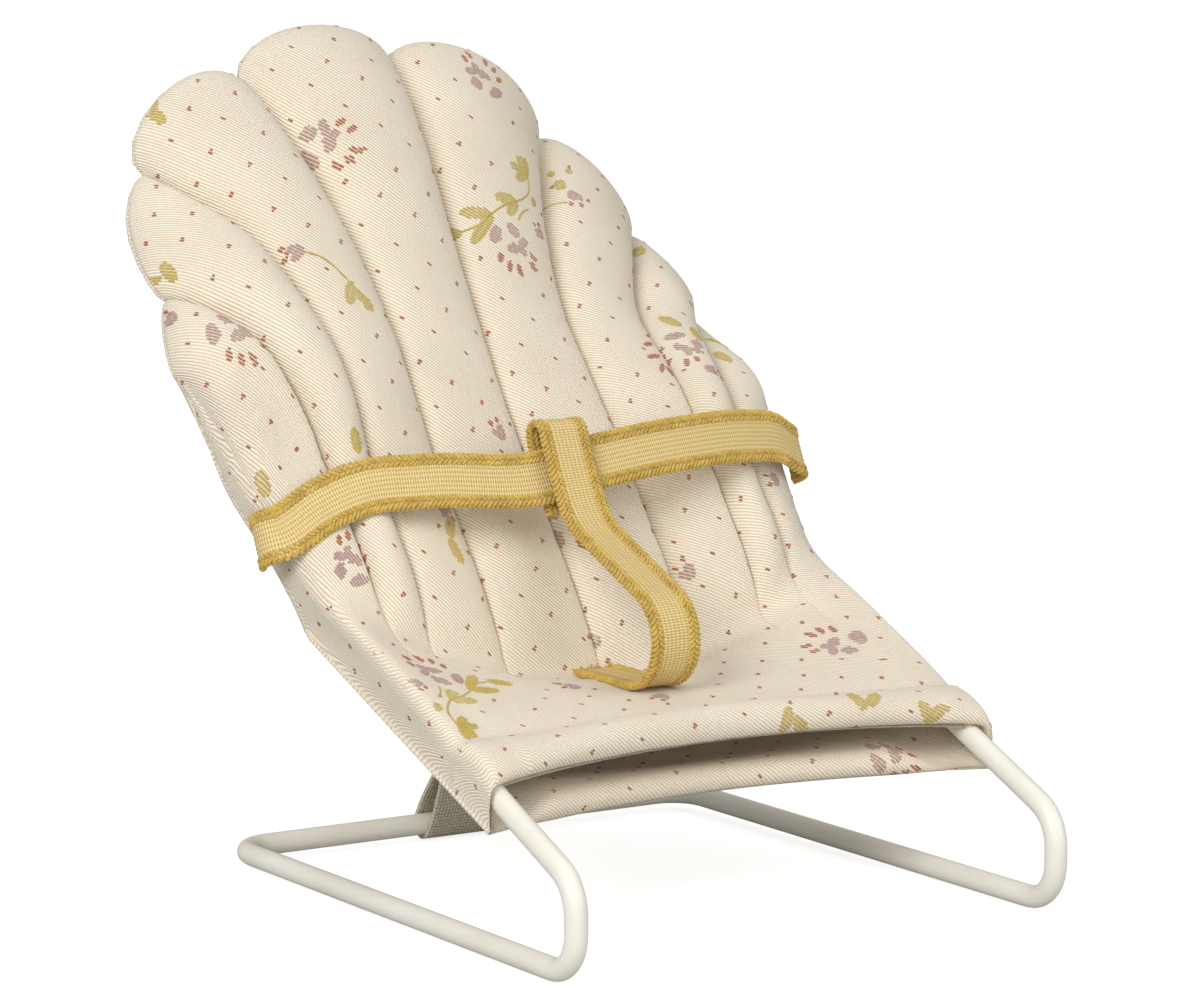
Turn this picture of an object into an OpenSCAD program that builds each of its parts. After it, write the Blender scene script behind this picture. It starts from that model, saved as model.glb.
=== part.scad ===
// Doll-size bouncer seat: one bent wire frame, a padded shell-shaped sleeve pulled over it, a webbing harness and a rear tether.
// Millimetres. X runs across the seat, the seat faces -Y, Z is up and the floor is Z = 0.

/* [Wire frame] */
// diameter of the painted steel wire
wire_d = 3.5; // [3:0.1:4]
// distance between the two floor legs, centre to centre
leg_gap = 86.9; // [84:0.1:90]
// distance from the front bends to the rear bar
base_depth = 94; // [88:1:100]
// centreline radius of the two rear corners
corner_r = 5.8; // [5:0.1:8]
// centreline radius of the lower curve in each front bend
foot_bend_r = 6; // [5.5:0.1:6.5]
// centreline radius of the upper curve in each front bend
upper_bend_r = 7; // [6.5:0.1:8]
// slope of the wire under the seat, degrees above level
seat_slope = 24; // [22:0.5:26]

/* [Padded sleeve] */
// slope of the back, degrees above level
back_slope = 52.35; // [48:0.5:56]
// half width of the sleeve at the seat crease
crease_half = 46.2; // [45.8:0.1:48]
// puffed thickness of a channel near its lobe
puff_top = 8.5; // [6:0.5:10]
// puffed thickness of a channel near the seat crease
puff_low = 3.2; // [2.5:0.1:4]
// thickness of the quilted front panel along a stitched seam
seam_t = 1.4; // [1:0.1:2]
// thickness of the plain backing cloth
backing_t = 0.9; // [0.7:0.1:1.2]
// greatest turn of the upper back about its centre seam, degrees
back_twist = 14; // [0:1:15]

/* [Harness and tether] */
// width of the harness webbing
web_w = 8.8; // [8:0.1:9]
// thickness of the harness webbing
web_t = 1; // [0.8:0.1:1.2]
// how far the waist strap bows forward of its sewn ends
waist_bow = 8; // [7:0.5:11]
// lean of the waist strap from upright, degrees
waist_lean = 25; // [20:1:30]
// how far the waist strap's right end stands higher than its left, degrees
waist_roll = 3; // [0:0.5:4]
// width of the tether webbing
tether_w = 15.5; // [14:0.5:17]
// thickness of one ply of the tether webbing
tether_t = 0.8; // [0.6:0.1:1]

/* [Hidden] */
$fn = 48;
wire_r = wire_d / 2;
leg_x = leg_gap / 2;
// the model's middle in depth, so that the origin lies under it
mid_y = 59.67;
// its middle across, a little left of the wire frame's, since the lobes are uneven
mid_x = -2.02;
// the tether passes under the rear bar, so the bar stands one ply off the floor
bar_z = wire_r + tether_t + 0.05;
base_tilt = asin((bar_z - wire_r) / base_depth);
// the wire bends about this point when the seat bounces
flex_y = -0.5 - foot_bend_r;
flex_z = wire_r + foot_bend_r + 1.4;
flex_gap = 0.2;
upper_z = flex_z + 1.2;
// where the seat wire leaves the upper curve
run_y = flex_y + upper_bend_r * (1 - sin(seat_slope));
run_z = upper_z + upper_bend_r * cos(seat_slope);
// foot of the back plane, in depth and height
back_y = 52;
back_z = 31.34;
wire_h = -2.6;
// how far up the back the two straight lines of a side wire would cross
knee_drop = run_z - back_z - wire_h * cos(back_slope)
    + tan(seat_slope) * (back_y - wire_h * sin(back_slope) - run_y);
knee_s = knee_drop / (sin(back_slope) - tan(seat_slope) * cos(back_slope));
knee_r = 16;
knee_cut = knee_r * tan((back_slope - seat_slope) / 2);
arch_s = 64;
arch_rise = 40;
pad_h = -0.45;
backing_h = -4.75;
seam_gap = 0.06;
fold_x = [0, 17.5, 31, 38, crease_half];
// notches between the lobes, left then right of the centre seam, then each lobe's rise and skew
notch = [[[0, 116], [33.2, 109.9], [52, 95], [56, 71.5], [58.3, 58]],
         [[0, 116], [34, 108], [52.6, 93.5], [56, 75], [49.2, 54]]];
lobe_rise = [[8.2, 7.2, 3.6, 1.6], [9.2, 4.4, 3.4, 1.2]];
lobe_skew = [[-0.04, 0.1, 0, 0], [0, 0.1, 0, 0]];
// how far the right rim stands forward of the left
rim_lift = 2.2;
waist_half = 50;
cushion_u = 8;
cushion_v = 12;
waist_r = (waist_half * waist_half + waist_bow * waist_bow) / (2 * waist_bow);
waist_y = 59.3;
waist_z = 64.9;
loop_r = 2;
loop_len = 11.5;
crotch_z = 33.45;
crotch_y = 38;
crotch_bend_r = 8.5;

wire_c = [0.93, 0.92, 0.88];
cloth_c = [0.94, 0.89, 0.82];
lining_c = [0.93, 0.88, 0.80];
web_c = [0.85, 0.74, 0.45];
tether_c = [0.70, 0.67, 0.60];
thread_c = [0.90, 0.84, 0.74];

// --- wire helpers ---

// straight wire from the origin along +Y
module wire_run(len) {
    rotate([-90, 0, 0]) cylinder(r = wire_r, h = len);
}

// curved wire in the Y-Z plane about the origin, angles from +Y towards +Z
module wire_arc(r, from, to) {
    rotate([90, 0, 90]) rotate([0, 0, from])
        rotate_extrude(angle = to - from) translate([r, 0]) circle(r = wire_r);
}

// round wire through a list of points, its ring set square to the plane normal given by up
module tube(path, r, sides, up) {
    last = len(path) - 1;
    function dir(k) = let (d = path[min(k + 1, last)] - path[max(k - 1, 0)]) d / norm(d);
    function ring(k) = let (a = cross(dir(k), up), b = a / norm(a), c = cross(b, dir(k)))
        [for (i = [0:sides - 1]) path[k] + r * (cos(360 * i / sides) * b + sin(360 * i / sides) * c)];
    skin = [for (k = [0:last - 1], i = [0:sides - 1]) let (j = (i + 1) % sides) each [
        [k * sides + i, (k + 1) * sides + i, (k + 1) * sides + j],
        [k * sides + i, (k + 1) * sides + j, k * sides + j]]];
    near_end = [for (i = [1:sides - 2]) [0, i, i + 1]];
    far_end = [for (i = [1:sides - 2]) [last * sides, last * sides + i + 1, last * sides + i]];
    polyhedron(points = [for (k = [0:last]) each ring(k)], faces = concat(skin, near_end, far_end));
}

// --- sleeve surface ---

function ease(a) = (1 - cos(180 * a)) / 2;
function twist_at(s) = back_twist / 14 * lookup(s, [[35, 0], [71, 11], [95, 13], [110, 14], [122, 13]]);
function edge_set(s) = lookup(s, [[45, 0], [71, -4.5], [94, -7], [110, 0.4], [122, 4]]);
function centre_set(s) = lookup(s, [[60, 0], [110, 3], [122, 5]]);
// the lower back hangs like a hammock between the side wires
function hammock(x) = abs(x) < 34 ? 5 * pow(x / 34, 2) : 5 * (1 - pow(min(abs(x) - 34, 16) / 16, 2));
function hammock_share(s) = lookup(s, [[45, 1], [75, 0]]);
function rim_set(x, s) =
    rim_lift * lookup(s, [[60, 0], [80, 1], [98, 0.9], [114, 0]]) * pow(min(max((x - 32) / 22, 0), 1.2), 1.5);
function base_set(x, s) = centre_set(s) + (edge_set(s) - centre_set(s)) * pow(x / 55, 2) + rim_set(x, s);
function set_at(x, s) = base_set(x, s) + hammock(x) * hammock_share(s);

// a point of the back from its distance across, distance up the slope and height off the plane
function back_pt(x, s, h) =
    let (turn = twist_at(s), across = x * cos(turn) + h * sin(turn), off = h * cos(turn) - x * sin(turn))
    [across,
     back_y + s * cos(back_slope) - off * sin(back_slope),
     back_z + s * sin(back_slope) + off * cos(back_slope)];
function padded_pt(x, s, h) = back_pt(x, s, set_at(x, s) + h);

// the shell outline: half ellipses between the notches
function outline(u) =
    let (i = min(floor(abs(u)), 3), a = abs(u) - i, hand = u > 0 ? 1 : 0, p = notch[hand][i],
        d = notch[hand][i + 1] - p, n = [-d[1], d[0]] / norm(d), bow = sin(180 * a))
    p + d * (ease(a) + lobe_skew[hand][i] * bow) + n * lobe_rise[hand][i] * bow;
function fold_at(u) =
    let (i = min(floor(abs(u)), 3), a = abs(u) - i)
    fold_x[i] + (fold_x[i + 1] - fold_x[i]) * ease(a);
function crease_s(x) = 3 + 17 * pow(x / crease_half, 2);
function spread(u) = abs(u) <= 3 ? 4 : 4 - (u > 0 ? 3 : 2.35) * ease(abs(u) - 3);

// distance across and up the back for seam line u at share t of its length
function shell_xs(u, t) =
    let (end = outline(u), x0 = fold_at(u), s0 = crease_s(x0))
    [sign(u) * (x0 + (end[0] - x0) * pow(t, spread(u))), s0 + (end[1] - s0) * t];
function puff(a, t) =
    let (low = puff_low + (puff_top - puff_low) * lookup(t, [[0.36, 0], [0.8, 1]]),
         tip = t < 0.8 ? 1 : sqrt(max(0, 1 - pow((t - 0.8) / 0.2, 2))))
    (seam_t - 0.4 + (low - seam_t) * pow(sin(180 * a), 0.8)) * max(tip, 0.05) + 0.4;
function fine_end(k) = 1 - pow(1 - k, 1.5);

// the seat between the front hem and the crease
function hem_pt(x) = let (w = pow(x / 46, 2)) [x, 17.5 - 4.5 * w, 27.7 - 2 * w];
function seat_pt(x, t, h) =
    let (w = pow(x / 46, 2), a = hem_pt(x), b = [x, 53.8 + 3.2 * w, 30 + 17 * w],
         dip = -1.2 * sin(180 * t) * (1 - w), lean = seat_slope * w)
    a + (b - a) * t + [0, -h * sin(lean), dip + h * cos(lean)];

// closed slab between two grids of points, (nu + 1) across and (nv + 1) along
module slab(top, under, nu, nv) {
    n = (nu + 1) * (nv + 1);
    m = nu + 1;
    cap = [for (j = [0:nv - 1], i = [0:nu - 1]) each [
        [j * m + i, (j + 1) * m + i, (j + 1) * m + i + 1],
        [j * m + i, (j + 1) * m + i + 1, j * m + i + 1]]];
    base = [for (f = cap) [n + f[0], n + f[2], n + f[1]]];
    ends = [for (i = [0:nu - 1]) each [
        [i, i + 1, n + i + 1],
        [i, n + i + 1, n + i],
        [nv * m + i + 1, nv * m + i, n + nv * m + i],
        [nv * m + i + 1, n + nv * m + i, n + nv * m + i + 1]]];
    flanks = [for (j = [0:nv - 1]) each [
        [(j + 1) * m, j * m, n + j * m],
        [(j + 1) * m, n + j * m, n + (j + 1) * m],
        [j * m + nu, (j + 1) * m + nu, n + (j + 1) * m + nu],
        [j * m + nu, n + (j + 1) * m + nu, n + j * m + nu]]];
    polyhedron(points = concat(top, under), faces = concat(cap, base, ends, flanks));
}

// one padded channel between seam lines u0 and u0 + 1
module channel(u0) {
    top = [for (j = [0:cushion_v], i = [0:cushion_u])
        let (a = i / cushion_u, t = fine_end(j / cushion_v), q = shell_xs(u0 + a, t))
        padded_pt(q[0] + seam_gap * (1 - 2 * a), q[1], pad_h + puff(a, t))];
    under = [for (j = [0:cushion_v], i = [0:cushion_u])
        let (a = i / cushion_u, t = fine_end(j / cushion_v), q = shell_xs(u0 + a, t))
        padded_pt(q[0] + seam_gap * (1 - 2 * a), q[1], pad_h)];
    slab(top, under, cushion_u, cushion_v);
}

// --- webbing helpers: each draws one stretch along +Y and carries its children to the far end ---

module web_straight(len, w = web_w, t = web_t) {
    translate([-w / 2, 0, -t / 2]) cube([w, len, t]);
    translate([0, len, 0]) children();
}

// turn > 0 curls up, turn < 0 curls down
module web_bend(r, turn, w = web_w, t = web_t) {
    side = turn > 0 ? 1 : -1;
    start = turn > 0 ? -90 : 90 + turn;
    translate([0, 0, side * r]) rotate([90, 0, 90]) rotate([0, 0, start])
        rotate_extrude(angle = abs(turn)) translate([r - t / 2, -w / 2]) square([t, w]);
    translate([0, r * sin(abs(turn)), side * r * (1 - cos(turn))]) rotate([turn, 0, 0]) children();
}

// --- wire frame ---

module rear_bar() {
    color(wire_c) translate([-mid_x, -mid_y, wire_r]) rotate([base_tilt, 0, 0]) {
        translate([-leg_x + corner_r, base_depth, 0]) rotate([0, 90, 0])
            cylinder(r = wire_r, h = leg_gap - 2 * corner_r);
        for (side = [0, 1])
            mirror([side, 0, 0]) translate([leg_x - corner_r, base_depth - corner_r, 0])
                rotate_extrude(angle = 90) translate([corner_r, 0]) circle(r = wire_r);
    }
}

module leg() {
    translate([leg_x, -mid_y, wire_r]) rotate([base_tilt, 0, 0]) translate([0, -0.5, 0])
        wire_run(base_depth - corner_r + 0.5);
}
module right_leg() {
    color(wire_c) translate([-mid_x, 0, 0]) leg();
}
module left_leg() {
    color(wire_c) translate([-mid_x, 0, 0]) mirror([1, 0, 0]) leg();
}

module lower_bend() {
    translate([leg_x, -mid_y - 0.5, wire_r + foot_bend_r]) {
        wire_arc(foot_bend_r, 180, 270);
        translate([0, -foot_bend_r, 0]) cylinder(r = wire_r, h = flex_z - flex_gap - wire_r - foot_bend_r);
    }
}
module right_lower_bend() {
    color(wire_c) translate([-mid_x, 0, 0]) lower_bend();
}
module left_lower_bend() {
    color(wire_c) translate([-mid_x, 0, 0]) mirror([1, 0, 0]) lower_bend();
}

module upper_bend() {
    translate([leg_x, flex_y - mid_y, flex_z + flex_gap]) cylinder(r = wire_r, h = upper_z - flex_z - flex_gap);
    translate([leg_x, flex_y + upper_bend_r - mid_y, upper_z]) mirror([0, 1, 0])
        wire_arc(upper_bend_r, 0, 90 - seat_slope);
}
module right_upper_bend() {
    color(wire_c) translate([-mid_x, 0, 0]) upper_bend();
}
module left_upper_bend() {
    color(wire_c) translate([-mid_x, 0, 0]) mirror([1, 0, 0]) upper_bend();
}

knee = back_pt(0, knee_s, wire_h);
knee_start = knee - knee_cut * [0, cos(seat_slope), sin(seat_slope)];

// straight wire from the upper bend, in at the sleeve's front corner and on under the seat
module seat_wire() {
    translate([leg_x, run_y - mid_y, run_z]) rotate([seat_slope, 0, 0])
        wire_run((knee_start[1] - run_y) / cos(seat_slope));
}
module right_seat_wire() {
    color(wire_c) translate([-mid_x, 0, 0]) seat_wire();
}
module left_seat_wire() {
    color(wire_c) translate([-mid_x, 0, 0]) mirror([1, 0, 0]) seat_wire();
}

function wire_pt(x, s) = back_pt(x, s, base_set(x, s) + wire_h);
back_up = [0, -sin(back_slope), cos(back_slope)];

// the wire inside one edge of the back: round the knee and up to the arch
module back_wire(side) {
    x = side * leg_x;
    centre = knee_start + knee_r * [0, -sin(seat_slope), cos(seat_slope)];
    bend = [for (k = [0:4])
        let (a = seat_slope + (back_slope - seat_slope) * k / 4) centre + [x, knee_r * sin(a), -knee_r * cos(a)]];
    rise = [for (s = [32:8:arch_s]) wire_pt(x, s)];
    tube(concat(bend, rise), wire_r, 20, back_up);
}
module left_back_wire() {
    color(wire_c) translate([-mid_x, -mid_y, 0]) back_wire(-1);
}
module right_back_wire() {
    color(wire_c) translate([-mid_x, -mid_y, 0]) back_wire(1);
}

// the wire arch across the top, inside the lobes
module top_wire() {
    arch = [for (i = [0:18]) wire_pt(leg_x * cos(10 * i), arch_s + arch_rise * sin(10 * i))];
    color(wire_c) translate([-mid_x, -mid_y, 0]) tube(arch, wire_r, 20, back_up);
}

// --- padded sleeve ---

module left_channel_1() {
    color(cloth_c) translate([-mid_x, -mid_y, 0]) channel(-1);
}
module left_channel_2() {
    color(cloth_c) translate([-mid_x, -mid_y, 0]) channel(-2);
}
module left_channel_3() {
    color(cloth_c) translate([-mid_x, -mid_y, 0]) channel(-3);
}
module left_channel_4() {
    color(cloth_c) translate([-mid_x, -mid_y, 0]) channel(-4);
}
module right_channel_1() {
    color(cloth_c) translate([-mid_x, -mid_y, 0]) channel(0);
}
module right_channel_2() {
    color(cloth_c) translate([-mid_x, -mid_y, 0]) channel(1);
}
module right_channel_3() {
    color(cloth_c) translate([-mid_x, -mid_y, 0]) channel(2);
}
module right_channel_4() {
    color(cloth_c) translate([-mid_x, -mid_y, 0]) channel(3);
}

hem_t = 0.16;
pad_start = 0.165;
function seat_thick(x, t) = (4.3 - 2.9 * pow(x / 46, 2))
    * lookup(t, [[0.16, 0.9], [0.3, 1], [0.45, 0.88], [0.75, 0.88], [0.9, 0.8], [1, 0.5]]);

// quilted cushion of the seat, slung between the side wires
module seat_pad() {
    across = 12;
    along = 9;
    top = [for (j = [0:along], i = [0:across])
        let (x = 92 * (i / across - 0.5), t = pad_start + (1 - pad_start) * j / along)
        seat_pt(x, t, seat_thick(x, t))];
    under = [for (j = [0:along], i = [0:across])
        seat_pt(92 * (i / across - 0.5), pad_start + (1 - pad_start) * j / along, 0)];
    color(cloth_c) translate([-mid_x, -mid_y, 0]) slab(top, under, across, along);
}

// folded and rounded front edge of the seat cushion
module front_hem() {
    across = 12;
    rows = [[0, 3, 1], [0.02, 4.1, 0.3], [0.05, 4.9, 0.05], [0.1, 5.1, 0], [hem_t, 4.3, 0]];
    function face(k) = [for (row = rows, i = [0:across])
        let (x = 92 * (i / across - 0.5)) seat_pt(x, row[0], row[k] * (1 - 0.6 * pow(x / 46, 2)))];
    color(cloth_c) translate([-mid_x, -mid_y, 0]) slab(face(1), face(2), across, len(rows) - 1);
}

// two rows of thread on the hidden face of the hem
module hem_stitching() {
    color(thread_c) translate([-mid_x, -mid_y, 0])
        for (t = [0.08, 0.13])
            tube([for (i = [-5:5]) seat_pt(i * 7.6, t, -0.4)], 0.3, 8, [0, 0, 1]);
}

// plain cloth behind the back, following the shell outline and closing on the lobes
module back_lining() {
    across = 32;
    along = 10;
    function lining(u, t, drop) =
        let (q = shell_xs(u, t), close = lookup(t, [[0.92, 0], [1, 1]]) * (1 - ease(max(abs(u) - 3, 0))),
             set = set_at(q[0], q[1]) * close + base_set(q[0], q[1]) * (1 - close))
        back_pt(q[0], q[1], set + backing_h + 4.1 * close - drop);
    color(cloth_c) translate([-mid_x, -mid_y, 0]) slab(
        [for (j = [0:along], i = [0:across]) lining(8 * i / across - 4, fine_end(j / along), 0)],
        [for (j = [0:along], i = [0:across]) lining(8 * i / across - 4, fine_end(j / along), backing_t)],
        across, along);
}

// plain cloth slung under the seat: with the cushion it forms the pocket that takes the wire
function sling_pt(x, t, h) =
    let (w = pow(x / 46, 2), a = [x, 21.8 - 9 * w, 19.6 + 0.8 * w],
         b = back_pt(x, crease_s(x) - 0.4, backing_h))
    a + (b - a) * t + [0, 0, h - 3 * sin(180 * t) * (1 - w)];
module seat_lining() {
    across = 12;
    along = 8;
    color(cloth_c) translate([-mid_x, -mid_y, 0]) slab(
        [for (j = [0:along], i = [0:across]) sling_pt(92 * (i / across - 0.5), j / along, 0)],
        [for (j = [0:along], i = [0:across]) sling_pt(92 * (i / across - 0.5), j / along, -backing_t)],
        across, along);
}

// the seam strip that closes one edge of the sleeve, from the front corner to the last notch
module side_seam(side) {
    seat_rows = 6;
    back_rows = 6;
    function rim(k, drop, out) = k <= seat_rows
        ? let (t = k / seat_rows, p = drop ? sling_pt(46, t, -backing_t) : seat_pt(46, t, 0.4))
            [side * (46.3 + out), p[1], p[2]]
        : let (q = shell_xs(4 * side, (k - seat_rows) / back_rows),
               h = drop ? base_set(q[0], q[1]) + backing_h - backing_t : set_at(q[0], q[1]) + pad_h + 0.3)
            back_pt(q[0] + side * (0.4 + out), q[1], h);
    rows = seat_rows + back_rows;
    outs = side > 0 ? [0, 0.9] : [0.9, 0];
    slab([for (k = [0:rows], o = outs) rim(k, false, o)],
        [for (k = [0:rows], o = outs) rim(k, true, o)],
        1, rows);
}
module left_side_seam() {
    color(lining_c) translate([-mid_x, -mid_y, 0]) side_seam(-1);
}
module right_side_seam() {
    color(lining_c) translate([-mid_x, -mid_y, 0]) side_seam(1);
}

// --- harness ---

waist_span = asin(waist_half / waist_r);

module waist_frame() {
    translate([-mid_x, waist_y - mid_y, waist_z]) rotate([0, -waist_roll, 0]) rotate([-waist_lean, 0, 0])
        translate([0, waist_r, -web_w / 2]) children();
}
module waist_strap() {
    color(web_c) waist_frame() rotate([0, 0, 270 - waist_span])
        rotate_extrude(angle = 2 * waist_span, $fn = 96)
            translate([waist_r - web_t / 2, 0]) square([web_t, web_w]);
}

// the webbing curls round the sleeve's edge and into the side seam
module strap_end(side) {
    curl = 3;
    color(web_c) waist_frame() mirror([side > 0 ? 0 : 1, 0, 0]) rotate([0, 0, waist_span])
        translate([0, curl - waist_r, 0]) rotate([0, 0, -90])
        rotate_extrude(angle = 110) translate([curl - web_t / 2, 0]) square([web_t, web_w]);
}
module right_strap_end() {
    strap_end(1);
}
module left_strap_end() {
    strap_end(-1);
}

// the sewn end of the crotch strap, flat on the seat
module crotch_strap_foot() {
    color(web_c) translate([-mid_x, crotch_y + 0.3 - mid_y, crotch_z]) web_straight(14.5);
}

// where the crotch strap reaches the waist strap's lower edge
tie_y = waist_y - loop_len / 2 * sin(waist_lean) - loop_r * cos(waist_lean);
tie_z = waist_z - loop_len / 2 * cos(waist_lean) + loop_r * sin(waist_lean);
rise_y = tie_y - (crotch_y - crotch_bend_r * sin(waist_lean));
rise_z = tie_z - (crotch_z + crotch_bend_r * (1 + cos(waist_lean)));
slant = cos(waist_lean) - sin(waist_lean);
crotch_run = (rise_y - rise_z) / slant;
tie_bend_r = (rise_z - crotch_run * sin(waist_lean)) / slant;

// centre line of the crotch strap in depth and height: round the front curve, up the slant, then up to the waist strap
crotch_line = let (first = 180 - waist_lean, c = [crotch_y, crotch_z + crotch_bend_r])
    concat(
        [for (a = [0:first / 12:first]) c + crotch_bend_r * [-sin(a), -cos(a)]],
        [for (k = [0:3]) let (a = waist_lean + (90 - 2 * waist_lean) * k / 3)
            [tie_y, tie_z] - tie_bend_r * [cos(waist_lean) - sin(a), cos(a) - sin(waist_lean)]]);
function line_side(k, off) =
    let (last = len(crotch_line) - 1, d = crotch_line[min(k + 1, last)] - crotch_line[max(k - 1, 0)])
    crotch_line[k] + off * [-d[1], d[0]] / norm(d);
module crotch_strap() {
    last = len(crotch_line) - 1;
    color(web_c) translate([-mid_x - web_w / 2, -mid_y, 0]) rotate([90, 0, 90])
        linear_extrude(web_w) polygon(concat(
        [for (k = [0:last]) line_side(k, web_t / 2)],
        [for (k = [last:-1:0]) line_side(k, -web_t / 2)]));
}

module tie_frame() {
    translate([-mid_x, tie_y - mid_y, tie_z]) rotate([90 - waist_lean, 0, 0]) children();
}
// the end of the crotch strap turned over the waist strap
module crotch_loop() {
    color(web_c) tie_frame() mirror([0, 0, 1])
        web_straight(loop_len) web_bend(loop_r, 180) web_straight(loop_len);
}
// rows of thread that close the loop below the waist strap
module crotch_tack() {
    color(thread_c) tie_frame() translate([-web_w / 2 + 0.5, 0, -2 * loop_r + web_t / 2])
        cube([web_w - 1, 0.7, 2 * loop_r - web_t]);
}

// --- tether ---

tether_x = -0.8;
ring_r = wire_r + 0.05;
tether_top = back_pt(0, 21, backing_h - backing_t);
tether_run = tether_top - [0, base_depth, bar_z];

module tether_loop() {
    color(tether_c) translate([tether_x - mid_x - tether_w / 2, base_depth - mid_y, bar_z])
        rotate([0, 90, 0]) difference() {
        cylinder(r = ring_r + tether_t, h = tether_w);
        translate([0, 0, -1]) cylinder(r = ring_r, h = tether_w + 2);
    }
}
module tether_strap() {
    start = ring_r + tether_t + 0.05;
    color(tether_c) translate([tether_x - mid_x, base_depth - mid_y, bar_z])
        rotate([atan2(tether_run[2], tether_run[1]), 0, 0])
        translate([-tether_w / 2, start, -tether_t])
        cube([tether_w, norm(tether_run) - start - 0.4, 2 * tether_t]);
}

rear_bar();
left_leg();
right_leg();
left_lower_bend();
right_lower_bend();
tether_loop();
tether_strap();
left_upper_bend();
right_upper_bend();
left_seat_wire();
right_seat_wire();
left_back_wire();
right_back_wire();
top_wire();
left_channel_1();
left_channel_2();
left_channel_3();
left_channel_4();
right_channel_1();
right_channel_2();
right_channel_3();
right_channel_4();
seat_pad();
front_hem();
hem_stitching();
back_lining();
seat_lining();
left_side_seam();
right_side_seam();
waist_strap();
left_strap_end();
right_strap_end();
crotch_strap_foot();
crotch_strap();
crotch_loop();
crotch_tack();
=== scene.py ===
import bpy
import math
import numpy as np
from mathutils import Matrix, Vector
from mathutils.bvhtree import BVHTree
from mathutils.interpolate import poly_3d_calc

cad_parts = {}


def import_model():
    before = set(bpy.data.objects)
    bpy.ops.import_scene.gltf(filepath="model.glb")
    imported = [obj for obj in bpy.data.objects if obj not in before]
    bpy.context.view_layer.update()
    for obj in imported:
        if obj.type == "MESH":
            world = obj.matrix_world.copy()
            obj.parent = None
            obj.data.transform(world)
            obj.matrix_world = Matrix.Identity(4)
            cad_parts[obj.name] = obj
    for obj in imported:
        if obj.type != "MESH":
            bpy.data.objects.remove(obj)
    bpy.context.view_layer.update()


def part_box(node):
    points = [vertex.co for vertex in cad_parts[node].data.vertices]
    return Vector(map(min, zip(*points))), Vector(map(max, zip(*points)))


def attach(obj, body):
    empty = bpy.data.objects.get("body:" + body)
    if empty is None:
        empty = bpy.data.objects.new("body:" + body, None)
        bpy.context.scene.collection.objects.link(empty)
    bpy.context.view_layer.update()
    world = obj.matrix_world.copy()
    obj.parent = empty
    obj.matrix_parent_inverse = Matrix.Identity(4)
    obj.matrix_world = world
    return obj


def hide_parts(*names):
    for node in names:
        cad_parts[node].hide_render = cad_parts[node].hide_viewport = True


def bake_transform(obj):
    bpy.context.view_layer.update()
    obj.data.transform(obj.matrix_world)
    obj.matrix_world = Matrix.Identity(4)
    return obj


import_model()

# The same millimetre frame as the part's source:
# x = 0 on the wire frame's mid-plane, y = 0 at the front bends, z = 0 on the floor.
MM = 0.001
bar_lo, bar_hi = (np.array(p) * 1000 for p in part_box("rear_bar"))
leg_lo, leg_hi = (np.array(p) * 1000 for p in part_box("right_leg"))
WIRE_R = (leg_hi[0] - leg_lo[0]) / 2
BASE_DEPTH = 94.0
MID_X = -(bar_lo[0] + bar_hi[0]) / 2
LEG_X = (leg_hi[0] + leg_lo[0]) / 2 + MID_X
MID_Y = BASE_DEPTH + WIRE_R - bar_hi[1]
BAR_Z = (bar_lo[2] + bar_hi[2]) / 2
FLEX_Y = -6.5
FLEX_Z = 9.15
CROTCH_Y = 38.0
CROTCH_Z = 33.45


def world(points):
    """Millimetres in the part's own frame to metres in the row frame."""
    p = np.asarray(points, float)
    return (p - [MID_X, MID_Y, 0]) * MM


def sind(a):
    return np.sin(np.radians(a))


def cosd(a):
    return np.cos(np.radians(a))


def unit(v):
    v = np.asarray(v, float)
    return v / np.maximum(np.linalg.norm(v, axis=-1, keepdims=True), 1e-12)


def curve(x, knots):
    """A smooth curve through a few (position, value) pairs, level beyond its ends."""
    xs, ys = np.array(knots, float).T
    m = np.gradient(ys, xs)
    m[0] = m[-1] = 0
    x = np.clip(x, xs[0], xs[-1])
    i = np.clip(np.searchsorted(xs, x) - 1, 0, len(xs) - 2)
    h = xs[i + 1] - xs[i]
    t = (x - xs[i]) / h
    return (
        (2 * t**3 - 3 * t**2 + 1) * ys[i]
        + (t**3 - 2 * t**2 + t) * h * m[i]
        + (3 * t**2 - 2 * t**3) * ys[i + 1]
        + (t**3 - t**2) * h * m[i + 1]
    )


def ripple(a, b, seed):
    """Smooth uneven variation from -1 to 1 over two coordinates, the same on every run."""
    total = 0
    for k in range(5):
        w = seed * 7.3 + k * 2.1
        fa, fb = 0.9 * math.sin(w) + 0.35 * k, 0.9 * math.cos(w * 1.7) + 0.3 * (5 - k)
        total = total + np.sin(a * fa + b * fb + w * 3.1) * (0.32 - 0.03 * k)
    return total


# ---------------------------------------------------------------- meshes


def make(name, verts, faces, material, smooth=True):
    mesh = bpy.data.meshes.new(name)
    mesh.from_pydata(world(verts).tolist(), [], [tuple(int(i) for i in f) for f in faces])
    mesh.validate()
    obj = bpy.data.objects.new(name, mesh)
    bpy.context.scene.collection.objects.link(obj)
    for m in material if isinstance(material, (list, tuple)) else [material]:
        mesh.materials.append(m)
    mesh.polygons.foreach_set("use_smooth", [smooth] * len(mesh.polygons))
    return obj


def attribute(obj, name, values):
    a = obj.data.attributes.new(name, "FLOAT_VECTOR", "POINT")
    v = np.zeros((len(values), 3), np.float32)
    v[:, : np.shape(values)[1]] = values
    a.data.foreach_set("vector", v.ravel())


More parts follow.
